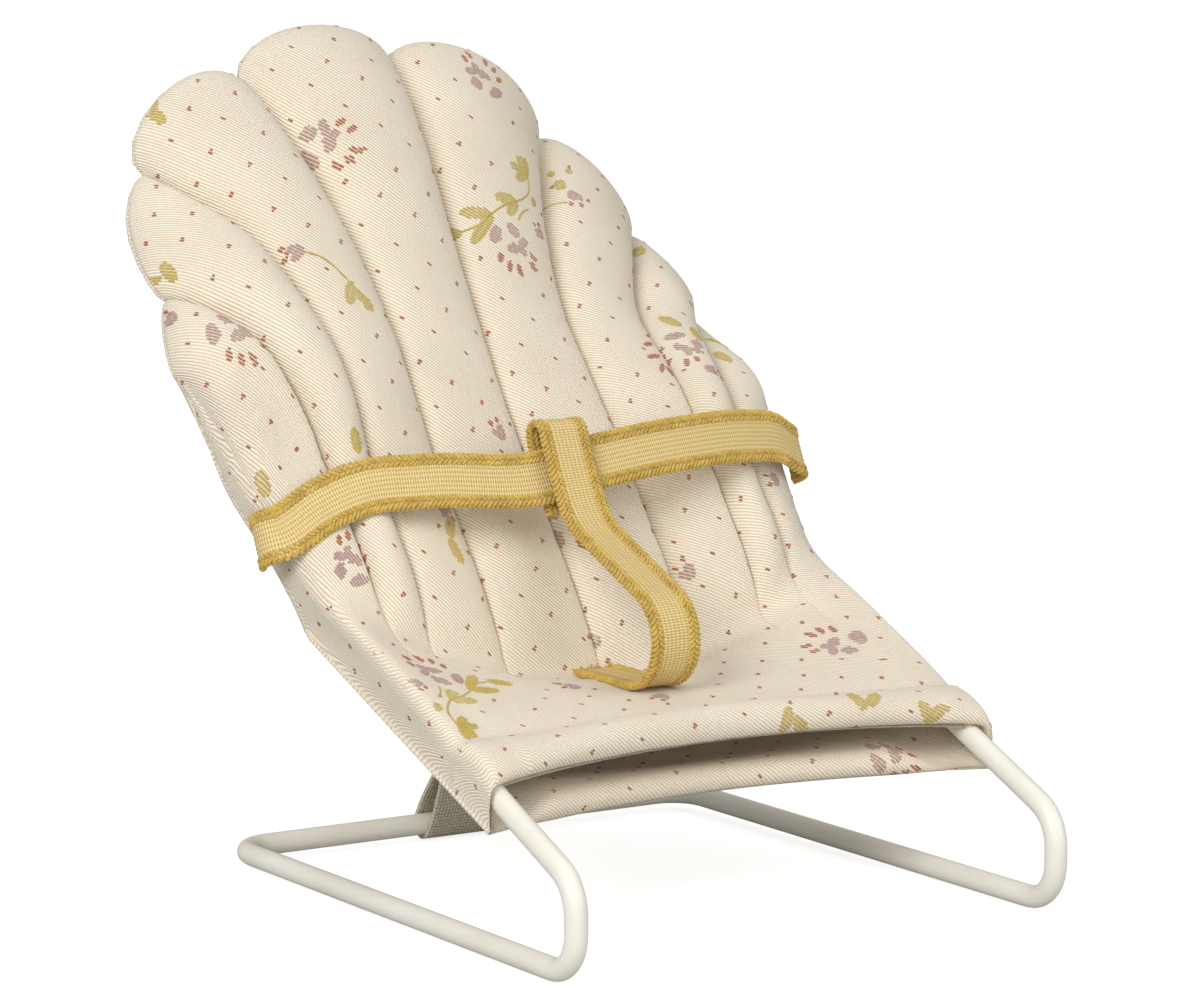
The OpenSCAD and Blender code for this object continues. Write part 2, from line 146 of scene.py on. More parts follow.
def loft(rings, cyclic=False):
    """A skin over rings of points, (count, sides, 3), closed round each ring and capped unless cyclic."""
    n, m = rings.shape[:2]
    idx = np.arange(n * m).reshape(n, m)
    a, b = (idx, np.roll(idx, -1, 0)) if cyclic else (idx[:-1], idx[1:])
    quads = np.stack([a, np.roll(a, -1, 1), np.roll(b, -1, 1), b], -1).reshape(-1, 4)
    faces = quads.tolist()
    verts = rings.reshape(-1, 3)
    if not cyclic:
        verts = np.vstack([verts, rings[0].mean(0), rings[-1].mean(0)])
        for j in range(m):
            faces.append([n * m, idx[0][(j + 1) % m], idx[0][j]])
            faces.append([n * m + 1, idx[-1][j], idx[-1][(j + 1) % m]])
    return verts, faces


def frames(path, side):
    """Unit tangent, side and normal along a path; side is a direction or one direction for each point."""
    path = np.asarray(path, float)
    t = unit(np.gradient(path, axis=0))
    s = np.broadcast_to(np.asarray(side, float), path.shape)
    s = unit(s - (s * t).sum(-1, keepdims=True) * t)
    return t, s, np.cross(t, s)


def tube(path, r, sides=24, side=(1, 0, 0), cyclic=False):
    t, s, n = frames(path, side)
    a = np.arange(sides) * 2 * math.pi / sides
    rings = path[:, None] + r * (np.cos(a)[None, :, None] * s[:, None] + np.sin(a)[None, :, None] * n[:, None])
    return loft(rings, cyclic)


CAPSULE = [(-0.5, 0.0), (-0.46, 0.5), (-0.3, 0.86), (0.0, 1.0), (0.3, 0.86), (0.46, 0.5), (0.5, 0.0)]


def capsules(start, end, up, r_side, r_up, sides=8):
    """Many small rounded stitches from start to end points, flattened along up."""
    start, end = np.atleast_2d(start), np.atleast_2d(end)
    axis = end - start
    up = unit(np.broadcast_to(up, start.shape))
    side = unit(np.cross(axis, up))
    up = unit(np.cross(side, axis))
    a = np.arange(sides) * 2 * math.pi / sides
    rows = [p for p in CAPSULE if p[1] > 0]
    unit_ring = np.array([[(z, math.cos(q) * r, math.sin(q) * r) for q in a] for z, r in rows]).reshape(-1, 3)
    unit_ring = np.vstack([unit_ring, [(-0.5, 0, 0), (0.5, 0, 0)]])
    mid = (start + end) / 2
    verts = (
        mid[:, None]
        + unit_ring[None, :, 0:1] * axis[:, None]
        + unit_ring[None, :, 1:2] * np.reshape(r_side, (-1, 1, 1)) * side[:, None]
        + unit_ring[None, :, 2:3] * np.reshape(r_up, (-1, 1, 1)) * up[:, None]
    )
    k = len(rows)
    faces = []
    for i in range(k - 1):
        for j in range(sides):
            near, far, turned = i * sides, (i + 1) * sides, (j + 1) % sides
            faces.append([near + j, near + turned, far + turned, far + j])
    for j in range(sides):
        faces.append([k * sides, (j + 1) % sides, j])
        faces.append([k * sides + 1, (k - 1) * sides + j, (k - 1) * sides + (j + 1) % sides])
    count = unit_ring.shape[0]
    all_faces = [[i + count * n for i in f] for n in range(len(start)) for f in faces]
    return verts.reshape(-1, 3), all_faces


def merged(*parts):
    verts, faces, base = [], [], 0
    for v, f in parts:
        verts.append(v)
        faces += [[i + base for i in g] for g in f]
        base += len(v)
    return np.vstack(verts), faces


def grid_faces(rows, cols, flip=False):
    idx = np.arange(rows * cols).reshape(rows, cols)
    q = np.stack([idx[:-1, :-1], idx[:-1, 1:], idx[1:, 1:], idx[1:, :-1]], -1).reshape(-1, 4)
    return q[:, ::-1] if flip else q


# ---------------------------------------------------------------- materials


class Shader:
    """A small builder for node materials."""

    def __init__(self, name, roughness=0.9, specular=0.25):
        self.material = bpy.data.materials.new(name)
        self.material.use_nodes = True
        self.tree = self.material.node_tree
        self.bsdf = self.tree.nodes["Principled BSDF"]
        self.bsdf.inputs["Roughness"].default_value = roughness
        self.bsdf.inputs["Specular IOR Level"].default_value = specular

    def node(self, kind, inputs=(), **settings):
        n = self.tree.nodes.new("ShaderNode" + kind)
        for k, v in settings.items():
            setattr(n, k, v)
        items = inputs.items() if isinstance(inputs, dict) else enumerate(inputs)
        for key, value in items:
            self.put(value, n.inputs[key])
        return n

    def put(self, value, socket):
        if isinstance(value, bpy.types.NodeSocket):
            self.tree.links.new(value, socket)
        elif value is not None:
            socket.default_value = value

    def maths(self, op, *values, clamp=False):
        return self.node("Math", values, operation=op, use_clamp=clamp).outputs[0]

    def noise(self, vector, scale, detail=3.0, rough=0.5):
        n = self.node("TexNoise", {"Vector": vector, "Scale": scale, "Detail": detail, "Roughness": rough})
        return n.outputs["Fac"]

    def mix(self, fac, a, b):
        n = self.node("Mix", data_type="RGBA")
        self.put(fac, n.inputs["Factor"])
        self.put(a, n.inputs["A"]) if isinstance(a, bpy.types.NodeSocket) else None
        sockets = [s for s in n.inputs if s.type == "RGBA"]
        self.put(a, sockets[0])
        self.put(b, sockets[1])
        return [s for s in n.outputs if s.type == "RGBA"][0]

    def span(self, value, lo, hi, to_lo=0.0, to_hi=1.0):
        return self.node("MapRange", [value, lo, hi, to_lo, to_hi]).outputs[0]

    def bump(self, height, distance, strength=1.0, normal=None):
        n = self.node("Bump", {"Strength": strength, "Distance": distance, "Height": height})
        self.put(normal, n.inputs["Normal"])
        return n.outputs["Normal"]

    def finish(self, colour, roughness=None, normal=None):
        self.put(colour, self.bsdf.inputs["Base Color"])
        self.put(roughness, self.bsdf.inputs["Roughness"])
        self.put(normal, self.bsdf.inputs["Normal"])
        return self.material


def srgb(r, g, b):
    c = [(v / 255) for v in (r, g, b)]
    return tuple((v / 12.92 if v <= 0.04045 else ((v + 0.055) / 1.055) ** 2.4) for v in c) + (1.0,)


TWILL_PITCH = 0.51
TWILL_ANGLE = -40.0
YARN_PITCH = 0.42
# slow drift of the ribs: its two rates and its reach
WANDER = (0.23, 0.31, 0.22)


def twill_material(name, light, dark, depth=0.16):
    """Fine diagonal twill, drawn in the cloth's own flat millimetres, with yarn unevenness and a faint fuzz."""
    s = Shader(name, roughness=0.92, specular=0.15)
    s.bsdf.inputs["Sheen Weight"].default_value = 0.25
    s.bsdf.inputs["Sheen Roughness"].default_value = 0.5
    flat = s.node("Attribute", attribute_name="flat").outputs["Vector"]
    x, y = (s.node("SeparateXYZ", [flat]).outputs[i] for i in (0, 1))
    ca, sa = math.cos(math.radians(TWILL_ANGLE)), math.sin(math.radians(TWILL_ANGLE))
    along = s.maths("ADD", s.maths("MULTIPLY", x, ca), s.maths("MULTIPLY", y, sa))
    across = s.maths("ADD", s.maths("MULTIPLY", x, -sa), s.maths("MULTIPLY", y, ca))
    drift = s.maths("ADD", s.maths("MULTIPLY", x, WANDER[0]), s.maths("MULTIPLY", y, WANDER[1]))
    wander = s.maths("SINE", drift)
    across = s.maths("ADD", across, s.maths("MULTIPLY", wander, WANDER[2]))
    turn = 2 * math.pi / TWILL_PITCH
    rib = s.maths("SINE", s.maths("MULTIPLY", across, turn))
    ribs = s.span(rib, -1.0, 1.0)
    step = s.maths("MULTIPLY", across, turn * 0.5)
    yarn = s.maths("SINE", s.maths("ADD", s.maths("MULTIPLY", along, 2 * math.pi / YARN_PITCH), step))
    yarns = s.span(yarn, -1.0, 1.0)
    slub = s.noise(s.node("VectorMath", [flat, (0.6, 4.0, 1.0)], operation="MULTIPLY").outputs[0], 1.4, 3.0)
    fuzz = s.noise(flat, 6.0, 3.0, 0.7)
    height = s.maths("ADD", s.maths("MULTIPLY", ribs, 0.72), s.maths("MULTIPLY", yarns, 0.18))
    height = s.maths("ADD", height, s.maths("MULTIPLY", fuzz, 0.25))
    tone = s.maths("ADD", s.maths("MULTIPLY", ribs, 0.75), s.maths("MULTIPLY", slub, 0.35))
    colour = s.mix(s.span(tone, 0.12, 0.92), dark, light)
    blotch = s.noise(flat, 0.06, 2.0)
    colour = s.mix(s.span(blotch, 0.35, 0.75, 0.0, 0.16), colour, tuple(0.9 * v for v in dark[:3]) + (1,))
    rough = s.span(fuzz, 0.2, 0.8, 0.84, 0.98)
    return s.finish(colour, rough, s.bump(height, depth * MM))


def thread_material(name, light, dark, pitch=0.3):
    """Dyed cotton thread, streaked along its fibres."""
    s = Shader(name, roughness=0.75, specular=0.3)
    s.bsdf.inputs["Sheen Weight"].default_value = 0.3
    where = s.node("TexCoord").outputs["Object"]
    fine = s.noise(where, 1 / (pitch * MM), 3.0, 0.6)
    broad = s.noise(where, 1 / (6 * pitch * MM), 2.0)
    tone = s.maths("ADD", s.maths("MULTIPLY", fine, 0.7), s.maths("MULTIPLY", broad, 0.5))
    colour = s.mix(s.span(tone, 0.3, 0.85), dark, light)
    return s.finish(colour, s.span(fine, 0.2, 0.8, 0.65, 0.9), s.bump(fine, 0.05 * MM, 0.7))


def paint_material():
    """Ivory powder paint on steel wire: a soft gloss with a slight orange-peel and faint warm patches."""
    s = Shader("ivory_paint", roughness=0.32, specular=0.5)
    where = s.node("TexCoord").outputs["Object"]
    peel = s.noise(where, 900.0, 2.0)
    patch = s.noise(where, 60.0, 3.0)
    speck = s.noise(where, 420.0, 4.0, 0.7)
    colour = s.mix(s.span(patch, 0.35, 0.7), srgb(244, 242, 232), srgb(236, 232, 219))
    colour = s.mix(s.span(speck, 0.66, 0.8, 0.0, 0.35), colour, srgb(206, 198, 178))
    return s.finish(colour, s.span(patch, 0.3, 0.7, 0.26, 0.42), s.bump(peel, 0.04 * MM, 0.35))


CREAM_LIGHT = srgb(255, 250, 236)
CREAM_DARK = srgb(220, 200, 168)
quilt_cloth = twill_material("quilted_twill", CREAM_LIGHT, CREAM_DARK)
plain_cloth = twill_material("lining_twill", srgb(255, 248, 232), srgb(226, 206, 174))
rust_thread = thread_material("rust_thread", srgb(186, 112, 84), srgb(150, 78, 56))
mauve_thread = thread_material("mauve_thread", srgb(188, 160, 158), srgb(158, 124, 124))
olive_thread = thread_material("olive_thread", srgb(206, 184, 88), srgb(168, 146, 56))
cream_thread = thread_material("cream_thread", srgb(246, 234, 212), srgb(218, 196, 164))
mustard_thread = thread_material("mustard_thread", srgb(228, 198, 102), srgb(162, 124, 38), 0.42)
ivory_paint = paint_material()


WARP_PITCH = 0.74
PICK_PITCH = 0.42


def web_centre_material():
    """Ribbed webbing centre: pale weft picks between mustard warp lines, in the ribbon's own millimetres."""
    s = Shader("webbing_centre", roughness=0.85, specular=0.2)
    flat = s.node("Attribute", attribute_name="flat").outputs["Vector"]
    x, y = (s.node("SeparateXYZ", [flat]).outputs[i] for i in (0, 1))
    wander = s.maths("MULTIPLY", s.noise(flat, 1.5, 2.0), 0.12)
    warp, pick = (
        s.span(s.maths("SINE", s.maths("MULTIPLY", s.maths("ADD", v, wander), 2 * math.pi / pitch)), -1.0, 1.0)
        for v, pitch in ((x, WARP_PITCH), (y, PICK_PITCH))
    )
    fuzz = s.noise(flat, 5.0, 3.0, 0.7)
    cell = s.maths("ADD", s.maths("MULTIPLY", pick, 0.62), s.maths("MULTIPLY", warp, 0.38))
    tone = s.maths("ADD", s.maths("MULTIPLY", cell, 0.9), s.maths("MULTIPLY", fuzz, 0.25))
    colour = s.mix(s.span(tone, 0.1, 0.85), srgb(192, 156, 76), srgb(242, 221, 164))
    height = s.maths("ADD", cell, s.maths("MULTIPLY", fuzz, 0.3))
    return s.finish(colour, None, s.bump(height, 0.14 * MM))


def plain_weave_material():
    """Coarse grey-beige plain weave."""
    s = Shader("tether_weave", roughness=0.95, specular=0.15)
    flat = s.node("Attribute", attribute_name="flat").outputs["Vector"]
    wander = s.maths("MULTIPLY", s.noise(flat, 0.8, 2.0), 0.25)
    x, y = (s.maths("ADD", s.node("SeparateXYZ", [flat]).outputs[i], wander) for i in (0, 1))
    k = math.pi / 0.62
    warp, weft = (s.maths("SINE", s.maths("MULTIPLY", v, k)) for v in (x, y))
    woven = s.maths("MULTIPLY", warp, weft)
    over = s.span(woven, -1.0, 1.0)
    bulge = s.maths("ABSOLUTE", woven)
    fuzz = s.noise(flat, 4.0, 3.0, 0.7)
    tone = s.span(s.maths("ADD", bulge, s.maths("MULTIPLY", fuzz, 0.6)), 0.2, 1.2)
    colour = s.mix(tone, srgb(186, 176, 154), srgb(238, 230, 212))
    colour = s.mix(s.maths("MULTIPLY", over, 0.25), colour, srgb(214, 206, 190))
    return s.finish(colour, None, s.bump(s.maths("ADD", bulge, s.maths("MULTIPLY", fuzz, 0.35)), 0.22 * MM))


web_centre = web_centre_material()
tether_cloth = plain_weave_material()

# ---------------------------------------------------------------- shell surface

BACK_SLOPE = 52.35
SEAT_SLOPE = 24.0
BACK_Y, BACK_Z = 52.0, 31.34
CREASE_HALF = 46.2
WIRE_H = -2.6
PAD_H = -0.45
BACKING_H = -4.75
PUFF_TOP, PUFF_LOW = 9.2, 4.6
RIM_LIFT = 2.2
FOLD_X = np.array([0, 17.5, 31, 38, CREASE_HALF])
# notches between the lobes, left then right, and each lobe's rise and skew
NOTCH = np.array([
    [[0, 116], [33.2, 109.9], [52, 95.0], [56.0, 71.5], [58.3, 58]],
    [[0, 116], [34.0, 108.0], [52.6, 93.5], [56.0, 75.0], [49.2, 54]],
])
LOBE_RISE = np.array([[8.2, 7.2, 3.6, 1.6], [9.2, 4.4, 3.4, 1.2]])
LOBE_SKEW = np.array([[-0.04, 0.1, 0.0, 0.0], [0.0, 0.1, 0.0, 0.0]])


def ease(a):
    return (1 - cosd(180 * a)) / 2


def twist_at(s):
    return curve(s, [[35, 0], [71, 11], [95, 13], [110, 14], [122, 13]])


def base_set(x, s):
    edge = curve(s, [[45, 0], [71, -4.5], [94, -7], [110, 0.4], [122, 4]])
    centre = curve(s, [[60, 0], [110, 3], [122, 5]])
    # the right rim stands a little further forward than the left
    lift = RIM_LIFT * curve(s, [[60, 0], [80, 1], [98, 0.9], [114, 0]]) * np.clip((x - 32) / 22, 0, 1.2) ** 1.5
    return centre + (edge - centre) * (x / 55) ** 2 + lift


def hammock(x, s):
    a = np.abs(x)
    dip = np.where(a < 34, 5 * (a / 34) ** 2, 5 * (1 - (np.minimum(a - 34, 16) / 16) ** 2))
    return dip * curve(s, [[45, 1], [75, 0]])


def set_at(x, s):
    return base_set(x, s) + hammock(x, s)


def back_pt(x, s, h):
    turn = twist_at(s)
    across = x * cosd(turn) + h * sind(turn)
    off = h * cosd(turn) - x * sind(turn)
    return np.stack(
        [
            across,
            BACK_Y + s * cosd(BACK_SLOPE) - off * sind(BACK_SLOPE),
            BACK_Z + s * sind(BACK_SLOPE) + off * cosd(BACK_SLOPE),
        ],
        -1,
    )


def outline(u):
    i = np.minimum(np.floor(np.abs(u)), 3).astype(int)
    a = np.abs(u) - i
    hand = (np.asarray(u) > 0).astype(int)
    p, d = NOTCH[hand, i], NOTCH[hand, i + 1] - NOTCH[hand, i]
    n = unit(np.stack([-d[..., 1], d[..., 0]], -1))
    bow = sind(180 * a)
    return p + d * (ease(a) + LOBE_SKEW[hand, i] * bow)[..., None] + n * (LOBE_RISE[hand, i] * bow)[..., None]


def fold_at(u):
    i = np.minimum(np.floor(np.abs(u)), 3).astype(int)
    a = np.abs(u) - i
    return FOLD_X[i] + (FOLD_X[i + 1] - FOLD_X[i]) * ease(a)


def crease_s(x):
    return 3 + 14 * (x / CREASE_HALF) ** 2


def spread(u):
    last = np.where(np.asarray(u) > 0, 3.0, 2.35)
    return 4 - last * ease(np.clip(np.abs(u) - 3, 0, 1))


def shell_xs(u, t):
    end, x0 = outline(u), fold_at(u)
    s0 = crease_s(x0)
    return np.sign(u) * (x0 + (end[..., 0] - x0) * t ** spread(u)), s0 + (end[..., 1] - s0) * t


def hem_pt(x):
    w = (x / 46) ** 2
    return np.stack([x, 17.5 - 4.5 * w, 27.7 - 2 * w], -1)


def seat_pt(x, t, h):
    w = (x / 46) ** 2
    a = hem_pt(x)
    b = np.stack([x, 53.8 + 3.2 * w, 30 + 17 * w], -1)
    lean = SEAT_SLOPE * w
    dip = -1.2 * sind(180 * np.clip(t, 0, 1)) * (1 - w)
    rise = np.stack([0 * x, -h * sind(lean), dip + h * cosd(lean)], -1)
    return a + (b - a) * np.asarray(t)[..., None] + rise


def sling_pt(x, t, h):
    w = (x / 46) ** 2
    a = np.stack([x, 21.8 - 9 * w, 19.6 - 0.2 * w], -1)
    b = back_pt(x, crease_s(x) - 0.4, BACKING_H + 0 * x)
    rise = np.stack([0 * x, 0 * x, h - 3 * sind(180 * np.clip(t, 0, 1)) * (1 - w)], -1)
    return a + (b - a) * np.asarray(t)[..., None] + rise


# ---------------------------------------------------------------- quilted panel

# columns in one channel, columns round each side edge, and rows of the back and the seat
PER_CHANNEL = 12
WRAP = 7
BACK_ROWS = 92
SEAT_ROWS = 26
# half width of the hem, its length along the seat, and where the cushion starts behind it
HEM_HALF = 45.9
SEAT_REACH = 36.0
CUSHION_START = 7.7

# columns crowd towards the seams
cells = np.arange(PER_CHANNEL) / PER_CHANNEL
cells = 0.55 * cells + 0.45 * ease(cells)
U = np.append(np.concatenate([k + cells for k in range(-4, 4)]), 4.0)
SHARE = U - np.floor(U - 1e-9 * (U == 4))
SHARE = np.where(U == 4, 1.0, SHARE)


def valley(a, power=0.56):
    return np.abs(np.sin(np.pi * a)) ** power


SEAM_H = 0.9


def back_grid(t):
    """Padded front of the back at shares t of each seam line."""
    u, tt = np.meshgrid(U, t)
    a = np.broadcast_to(SHARE, u.shape)
    x, s = shell_xs(u, tt)
    puff = PUFF_LOW + (PUFF_TOP - PUFF_LOW) * curve(tt, [[0.3, 0], [0.58, 0.45], [0.86, 1.0]])
    side = np.clip(np.abs(u) - 3, 0, 1)
    puff = puff * (1 - 0.25 * side)
    tip = np.sqrt(np.clip(1 - np.clip((tt - 0.8) / 0.2, 0, 1) ** 2, 0, 1))
    low = 1 - 0.55 * curve(tt, [[0.0, 1], [0.14, 0]])
    height = (SEAM_H + (puff - SEAM_H) * valley(a) * low) * np.maximum(tip, 0.03)
    # small puckers drawn in by the quilting stitches
    near = np.exp(-np.minimum(a, 1 - a) * 5.5)
    pucker = 0.3 * near * ripple(s * 1.35, u * 0.6, 1.0) * tip * np.clip(tt * 12, 0, 1)
    swell = 0.22 * ripple(s * 0.22, u * 2.2, 2.0) * valley(a) * tip
    return back_pt(x, s, set_at(x, s) + PAD_H + height + pucker + swell)


# the rolled hem in section: distance along the seat and height
HEM_SECTION = [
    (1.8, -0.1), (0.8, 0.0), (0.15, 0.6), (-0.15, 1.7), (-0.1, 2.8), (0.35, 3.9),
    (1.2, 4.75), (2.4, 5.2), (3.8, 5.25), (5.2, 4.95), (6.3, 4.25), (7.0, 3.5),
]


# share of the seat padding's thickness, from the hem to the crease
SEAT_PUFF = [[0.2, 0.76], [0.25, 0.9], [0.36, 1.06], [0.62, 1.05], [0.88, 0.8], [1, 0.3]]


cushion_t = np.linspace(CUSHION_START / SEAT_REACH, 1, SEAT_ROWS)


def seat_grid():
    """Rolled hem and seat cushion, from the hem's underside back to the crease."""
    x_crease = np.sign(U) * fold_at(U)
    x_hem = x_crease * HEM_HALF / CREASE_HALF
    rows = []
    for d, h in HEM_SECTION:
        w = (x_hem / 46) ** 2
        crown = h * (1 - 0.45 * w) + 0.12 * ripple(x_hem * 0.25, d, 3.0)
        rows.append(seat_pt(x_hem, d / SEAT_REACH + 0 * x_hem, crown))
    for t in cushion_t:
        x = x_hem + (x_crease - x_hem) * t
        w = (x / 46) ** 2
        thick = (4.5 - 3.2 * w) * curve(t, SEAT_PUFF)
        quilt = 0.9 * (1 - valley(SHARE)) * curve(t, [[0.62, 0], [0.95, 1]]) * (np.abs(U) < 3.5)
        rumple = 0.35 * ripple(x * 0.16, t * 5.0, 4.0) * math.sin(math.pi * min(t, 1))
        rows.append(seat_pt(x, t + 0 * x, thick - quilt + rumple))
    return np.array(rows)


k = np.linspace(0, 1, BACK_ROWS + 1)[1:]
back_t = 1 - (1 - k) ** 1.45
seat_top = seat_grid()
back_top = back_grid(back_t)
crease_x = np.sign(U) * fold_at(U)
crease_up = crease_s(crease_x)
crease_back = back_pt(crease_x, crease_up, set_at(crease_x, crease_up) + 0.2)
crease = (seat_pt(crease_x, 1 + 0 * U, 0.8 + 0 * U) + crease_back) / 2
top = np.concatenate([seat_top[:-1], crease[None], back_top])
CREASE_ROW = len(seat_top) - 1

# the outer channels run over the crease in one sweep; the middle keeps its fold
hold = np.clip((np.abs(U) - 2.3) / 1.4, 0, 1)
for step in range(26):
    band = slice(max(CREASE_ROW - 14, 1), CREASE_ROW + 15)
    mean = (top[band.start - 1 : band.stop - 1] + top[band.start + 1 : band.stop + 1]) / 2
    window = 0.5 + 0.5 * np.cos(np.linspace(-math.pi, math.pi, band.stop - band.start))
    weight = (0.06 + 0.9 * ease(hold))[None, :, None] * window[:, None, None]
    if step < 6:
        weight = np.maximum(weight, 0.25 * window[:, None, None])
    top[band] += (mean - top[band]) * weight

rows_n = len(top)
seat_n = CREASE_ROW + 1

# under layer and lining edge, row for row
seat_t_rows = np.concatenate([[d / SEAT_REACH for d, _ in HEM_SECTION], cushion_t])


def under_row(j):
    if j < seat_n:
        t = seat_t_rows[j]
        hem_x = crease_x * HEM_HALF / CREASE_HALF
        x = hem_x + (crease_x - hem_x) * t
        return seat_pt(x * 0.97, max(t, 0.012) + 0 * x, -0.6 * (x / HEM_HALF) ** 4)
    x, s = shell_xs(U, back_t[j - seat_n] + 0 * U)
    return back_pt(x * 0.975, s, set_at(x, s) + PAD_H - 0.3)


under = np.array([under_row(j) for j in range(rows_n)])


def lining_edge(side):
    """Where the plain cloth's side edge runs, row for row with the panel."""
    pts = []
    for j in range(rows_n):
        if j < seat_n:
            t = seat_t_rows[j]
            pts.append(sling_pt(np.array(side * (HEM_HALF - 0.2)), np.array(t), np.array(0.0)))
        else:
            t = back_t[j - seat_n]
            x, s = shell_xs(np.array(side * 4.0), np.array(t))
            close = curve(t, [[0.55, 0], [1.0, 1]])
            h = base_set(x, s) * (1 - close) + set_at(x, s) * close + BACKING_H + 4.0 * close
            pts.append(back_pt(x - side * 0.4, s, h))
    return np.array(pts)


edges = {side: lining_edge(side) for side in (-1, 1)}


def wrap_columns(side):
    """The strip of cloth that turns round one side edge of the sleeve, from the panel to the lining."""
    rim = top[:, 0] if side < 0 else top[:, -1]
    foot = edges[side]
    tang = unit(np.gradient(rim, axis=0))
    outward = np.array([side, 0, 0.0]) - (np.array([side, 0, 0.0]) * tang).sum(-1, keepdims=True) * tang
    outward = unit(outward)
    lift = unit(np.cross(tang, outward) * -side)
    tight = np.ones(rows_n)
    tight[seat_n:] = 1 - 0.75 * curve(back_t, [[0.6, 0], [1.0, 1]])
    tight[:8] = np.linspace(0.15, 1, 8)
    cols = []
    for k in range(1, WRAP + 1):
        q = k / WRAP
        fall = ease(q) if q < 1 else 1
        bulge = 0.95 * math.sin(math.pi * min(q * 1.08, 1)) ** 0.75 * tight
        crown = 0.65 * math.sin(math.pi * min(q * 2.4, 1)) * tight
        cols.append(rim + (foot - rim) * fall + outward * bulge[:, None] + lift * crown[:, None])
    return np.stack(cols, 1)


left_wrap, right_wrap = wrap_columns(-1), wrap_columns(1)
skin = np.concatenate([left_wrap[:, ::-1], top, right_wrap], 1)
cols_n = skin.shape[1]

# both side edges of the sleeve are soft and round
ROUND_COLUMNS = 2 * WRAP + 4
softness = np.zeros(cols_n)
softness[1 : ROUND_COLUMNS + 1] = np.linspace(1, 0.1, ROUND_COLUMNS) ** 0.5
softness = np.maximum(softness, softness[::-1])[None, 1:-1, None]
along_sleeve = np.ones(rows_n)
along_sleeve[seat_n:] = 1 - curve(back_t, [[0.55, 0], [0.85, 1]])
for _ in range(22):
    mean = (skin[:, :-2] + skin[:, 2:]) / 2
    skin[:, 1:-1] += 0.5 * softness * along_sleeve[:, None, None] * (mean - skin[:, 1:-1])


# ---------------------------------------------------------------- padding settles by cloth simulation

# the cloth is simulated at ten times its size, and no point keeps more than the cap, in millimetres
SIM_SCALE = 10.0
SIM_FRAMES = 20
SIM_CAP = 1.5
HEM_PINNED = len(HEM_SECTION) + 1


def settle(obj):
    """Blows the quilted skin up against its seams as cloth, then keeps a capped share of the movement."""
    grid = np.zeros((rows_n, cols_n), bool)
    seam = np.zeros(cols_n, bool)
    seam[WRAP : cols_n - WRAP] = np.abs(U - np.round(U)) < 1e-6
    grid[-3:] = True
    grid[CREASE_ROW - 1 : CREASE_ROW + 2, WRAP + 6 : cols_n - WRAP - 6] = True
    grid[:seat_n, seam] = False
    grid[seat_n:, seam] = True
    grid[:seat_n, : WRAP + 1] = grid[:seat_n, cols_n - WRAP - 1 :] = True
    grid[:, :WRAP] = grid[:, cols_n - WRAP :] = True
    grid[:HEM_PINNED] = True
    held = np.append(np.where(grid.ravel())[0], np.arange(rows_n * cols_n, len(obj.data.vertices)))
    rest = np.zeros(len(obj.data.vertices) * 3)
    obj.data.vertices.foreach_get("co", rest)
    sim = obj.copy()
    sim.data = obj.data.copy()
    bpy.context.scene.collection.objects.link(sim)
    sim.data.vertices.foreach_set("co", rest * SIM_SCALE)
    group = sim.vertex_groups.new(name="held")
    group.add([int(i) for i in held], 1.0, "REPLACE")
    cloth = sim.modifiers.new("cloth", "CLOTH")
    c = cloth.settings
    c.quality = 5
    c.mass = 0.25
    c.tension_stiffness = c.compression_stiffness = 12
    c.shear_stiffness = 4
    c.bending_stiffness = 0.4
    c.tension_damping = c.compression_damping = 8
    c.shrink_min = -0.07
    c.use_pressure = True
    c.uniform_pressure_force = 4.0
    c.vertex_group_mass = "held"
    c.pin_stiffness = 1.0
    c.effector_weights.gravity = 0
    cloth.collision_settings.use_collision = False
    cloth.point_cache.frame_start, cloth.point_cache.frame_end = 1, SIM_FRAMES
    scene = bpy.context.scene
    for frame_no in range(1, SIM_FRAMES + 1):
        scene.frame_set(frame_no)
    done = sim.evaluated_get(bpy.context.evaluated_depsgraph_get()).to_mesh()
    moved = np.zeros(len(rest))
    done.vertices.foreach_get("co", moved)
    scene.frame_set(1)
    data = sim.data
    bpy.data.objects.remove(sim)
    bpy.data.meshes.remove(data)
    shift = (moved / SIM_SCALE - rest).reshape(-1, 3) / MM
    size = np.linalg.norm(shift, axis=1, keepdims=True)
    shift *= SIM_CAP * np.tanh(size / SIM_CAP) / np.maximum(size, 1e-9)
    obj.data.vertices.foreach_set("co", rest + shift.ravel() * MM)
    obj.data.update()


def subdivide(obj):
    mod = obj.modifiers.new("smooth", "SUBSURF")
    mod.levels = mod.render_levels = 1
    graph = bpy.context.evaluated_depsgraph_get()
    done = obj.evaluated_get(graph)
    mesh = bpy.data.meshes.new_from_object(done, preserve_all_data_layers=True, depsgraph=graph)
    old = obj.data
    obj.modifiers.clear()
    obj.data = mesh
    mesh.name = old.name
    bpy.data.meshes.remove(old)


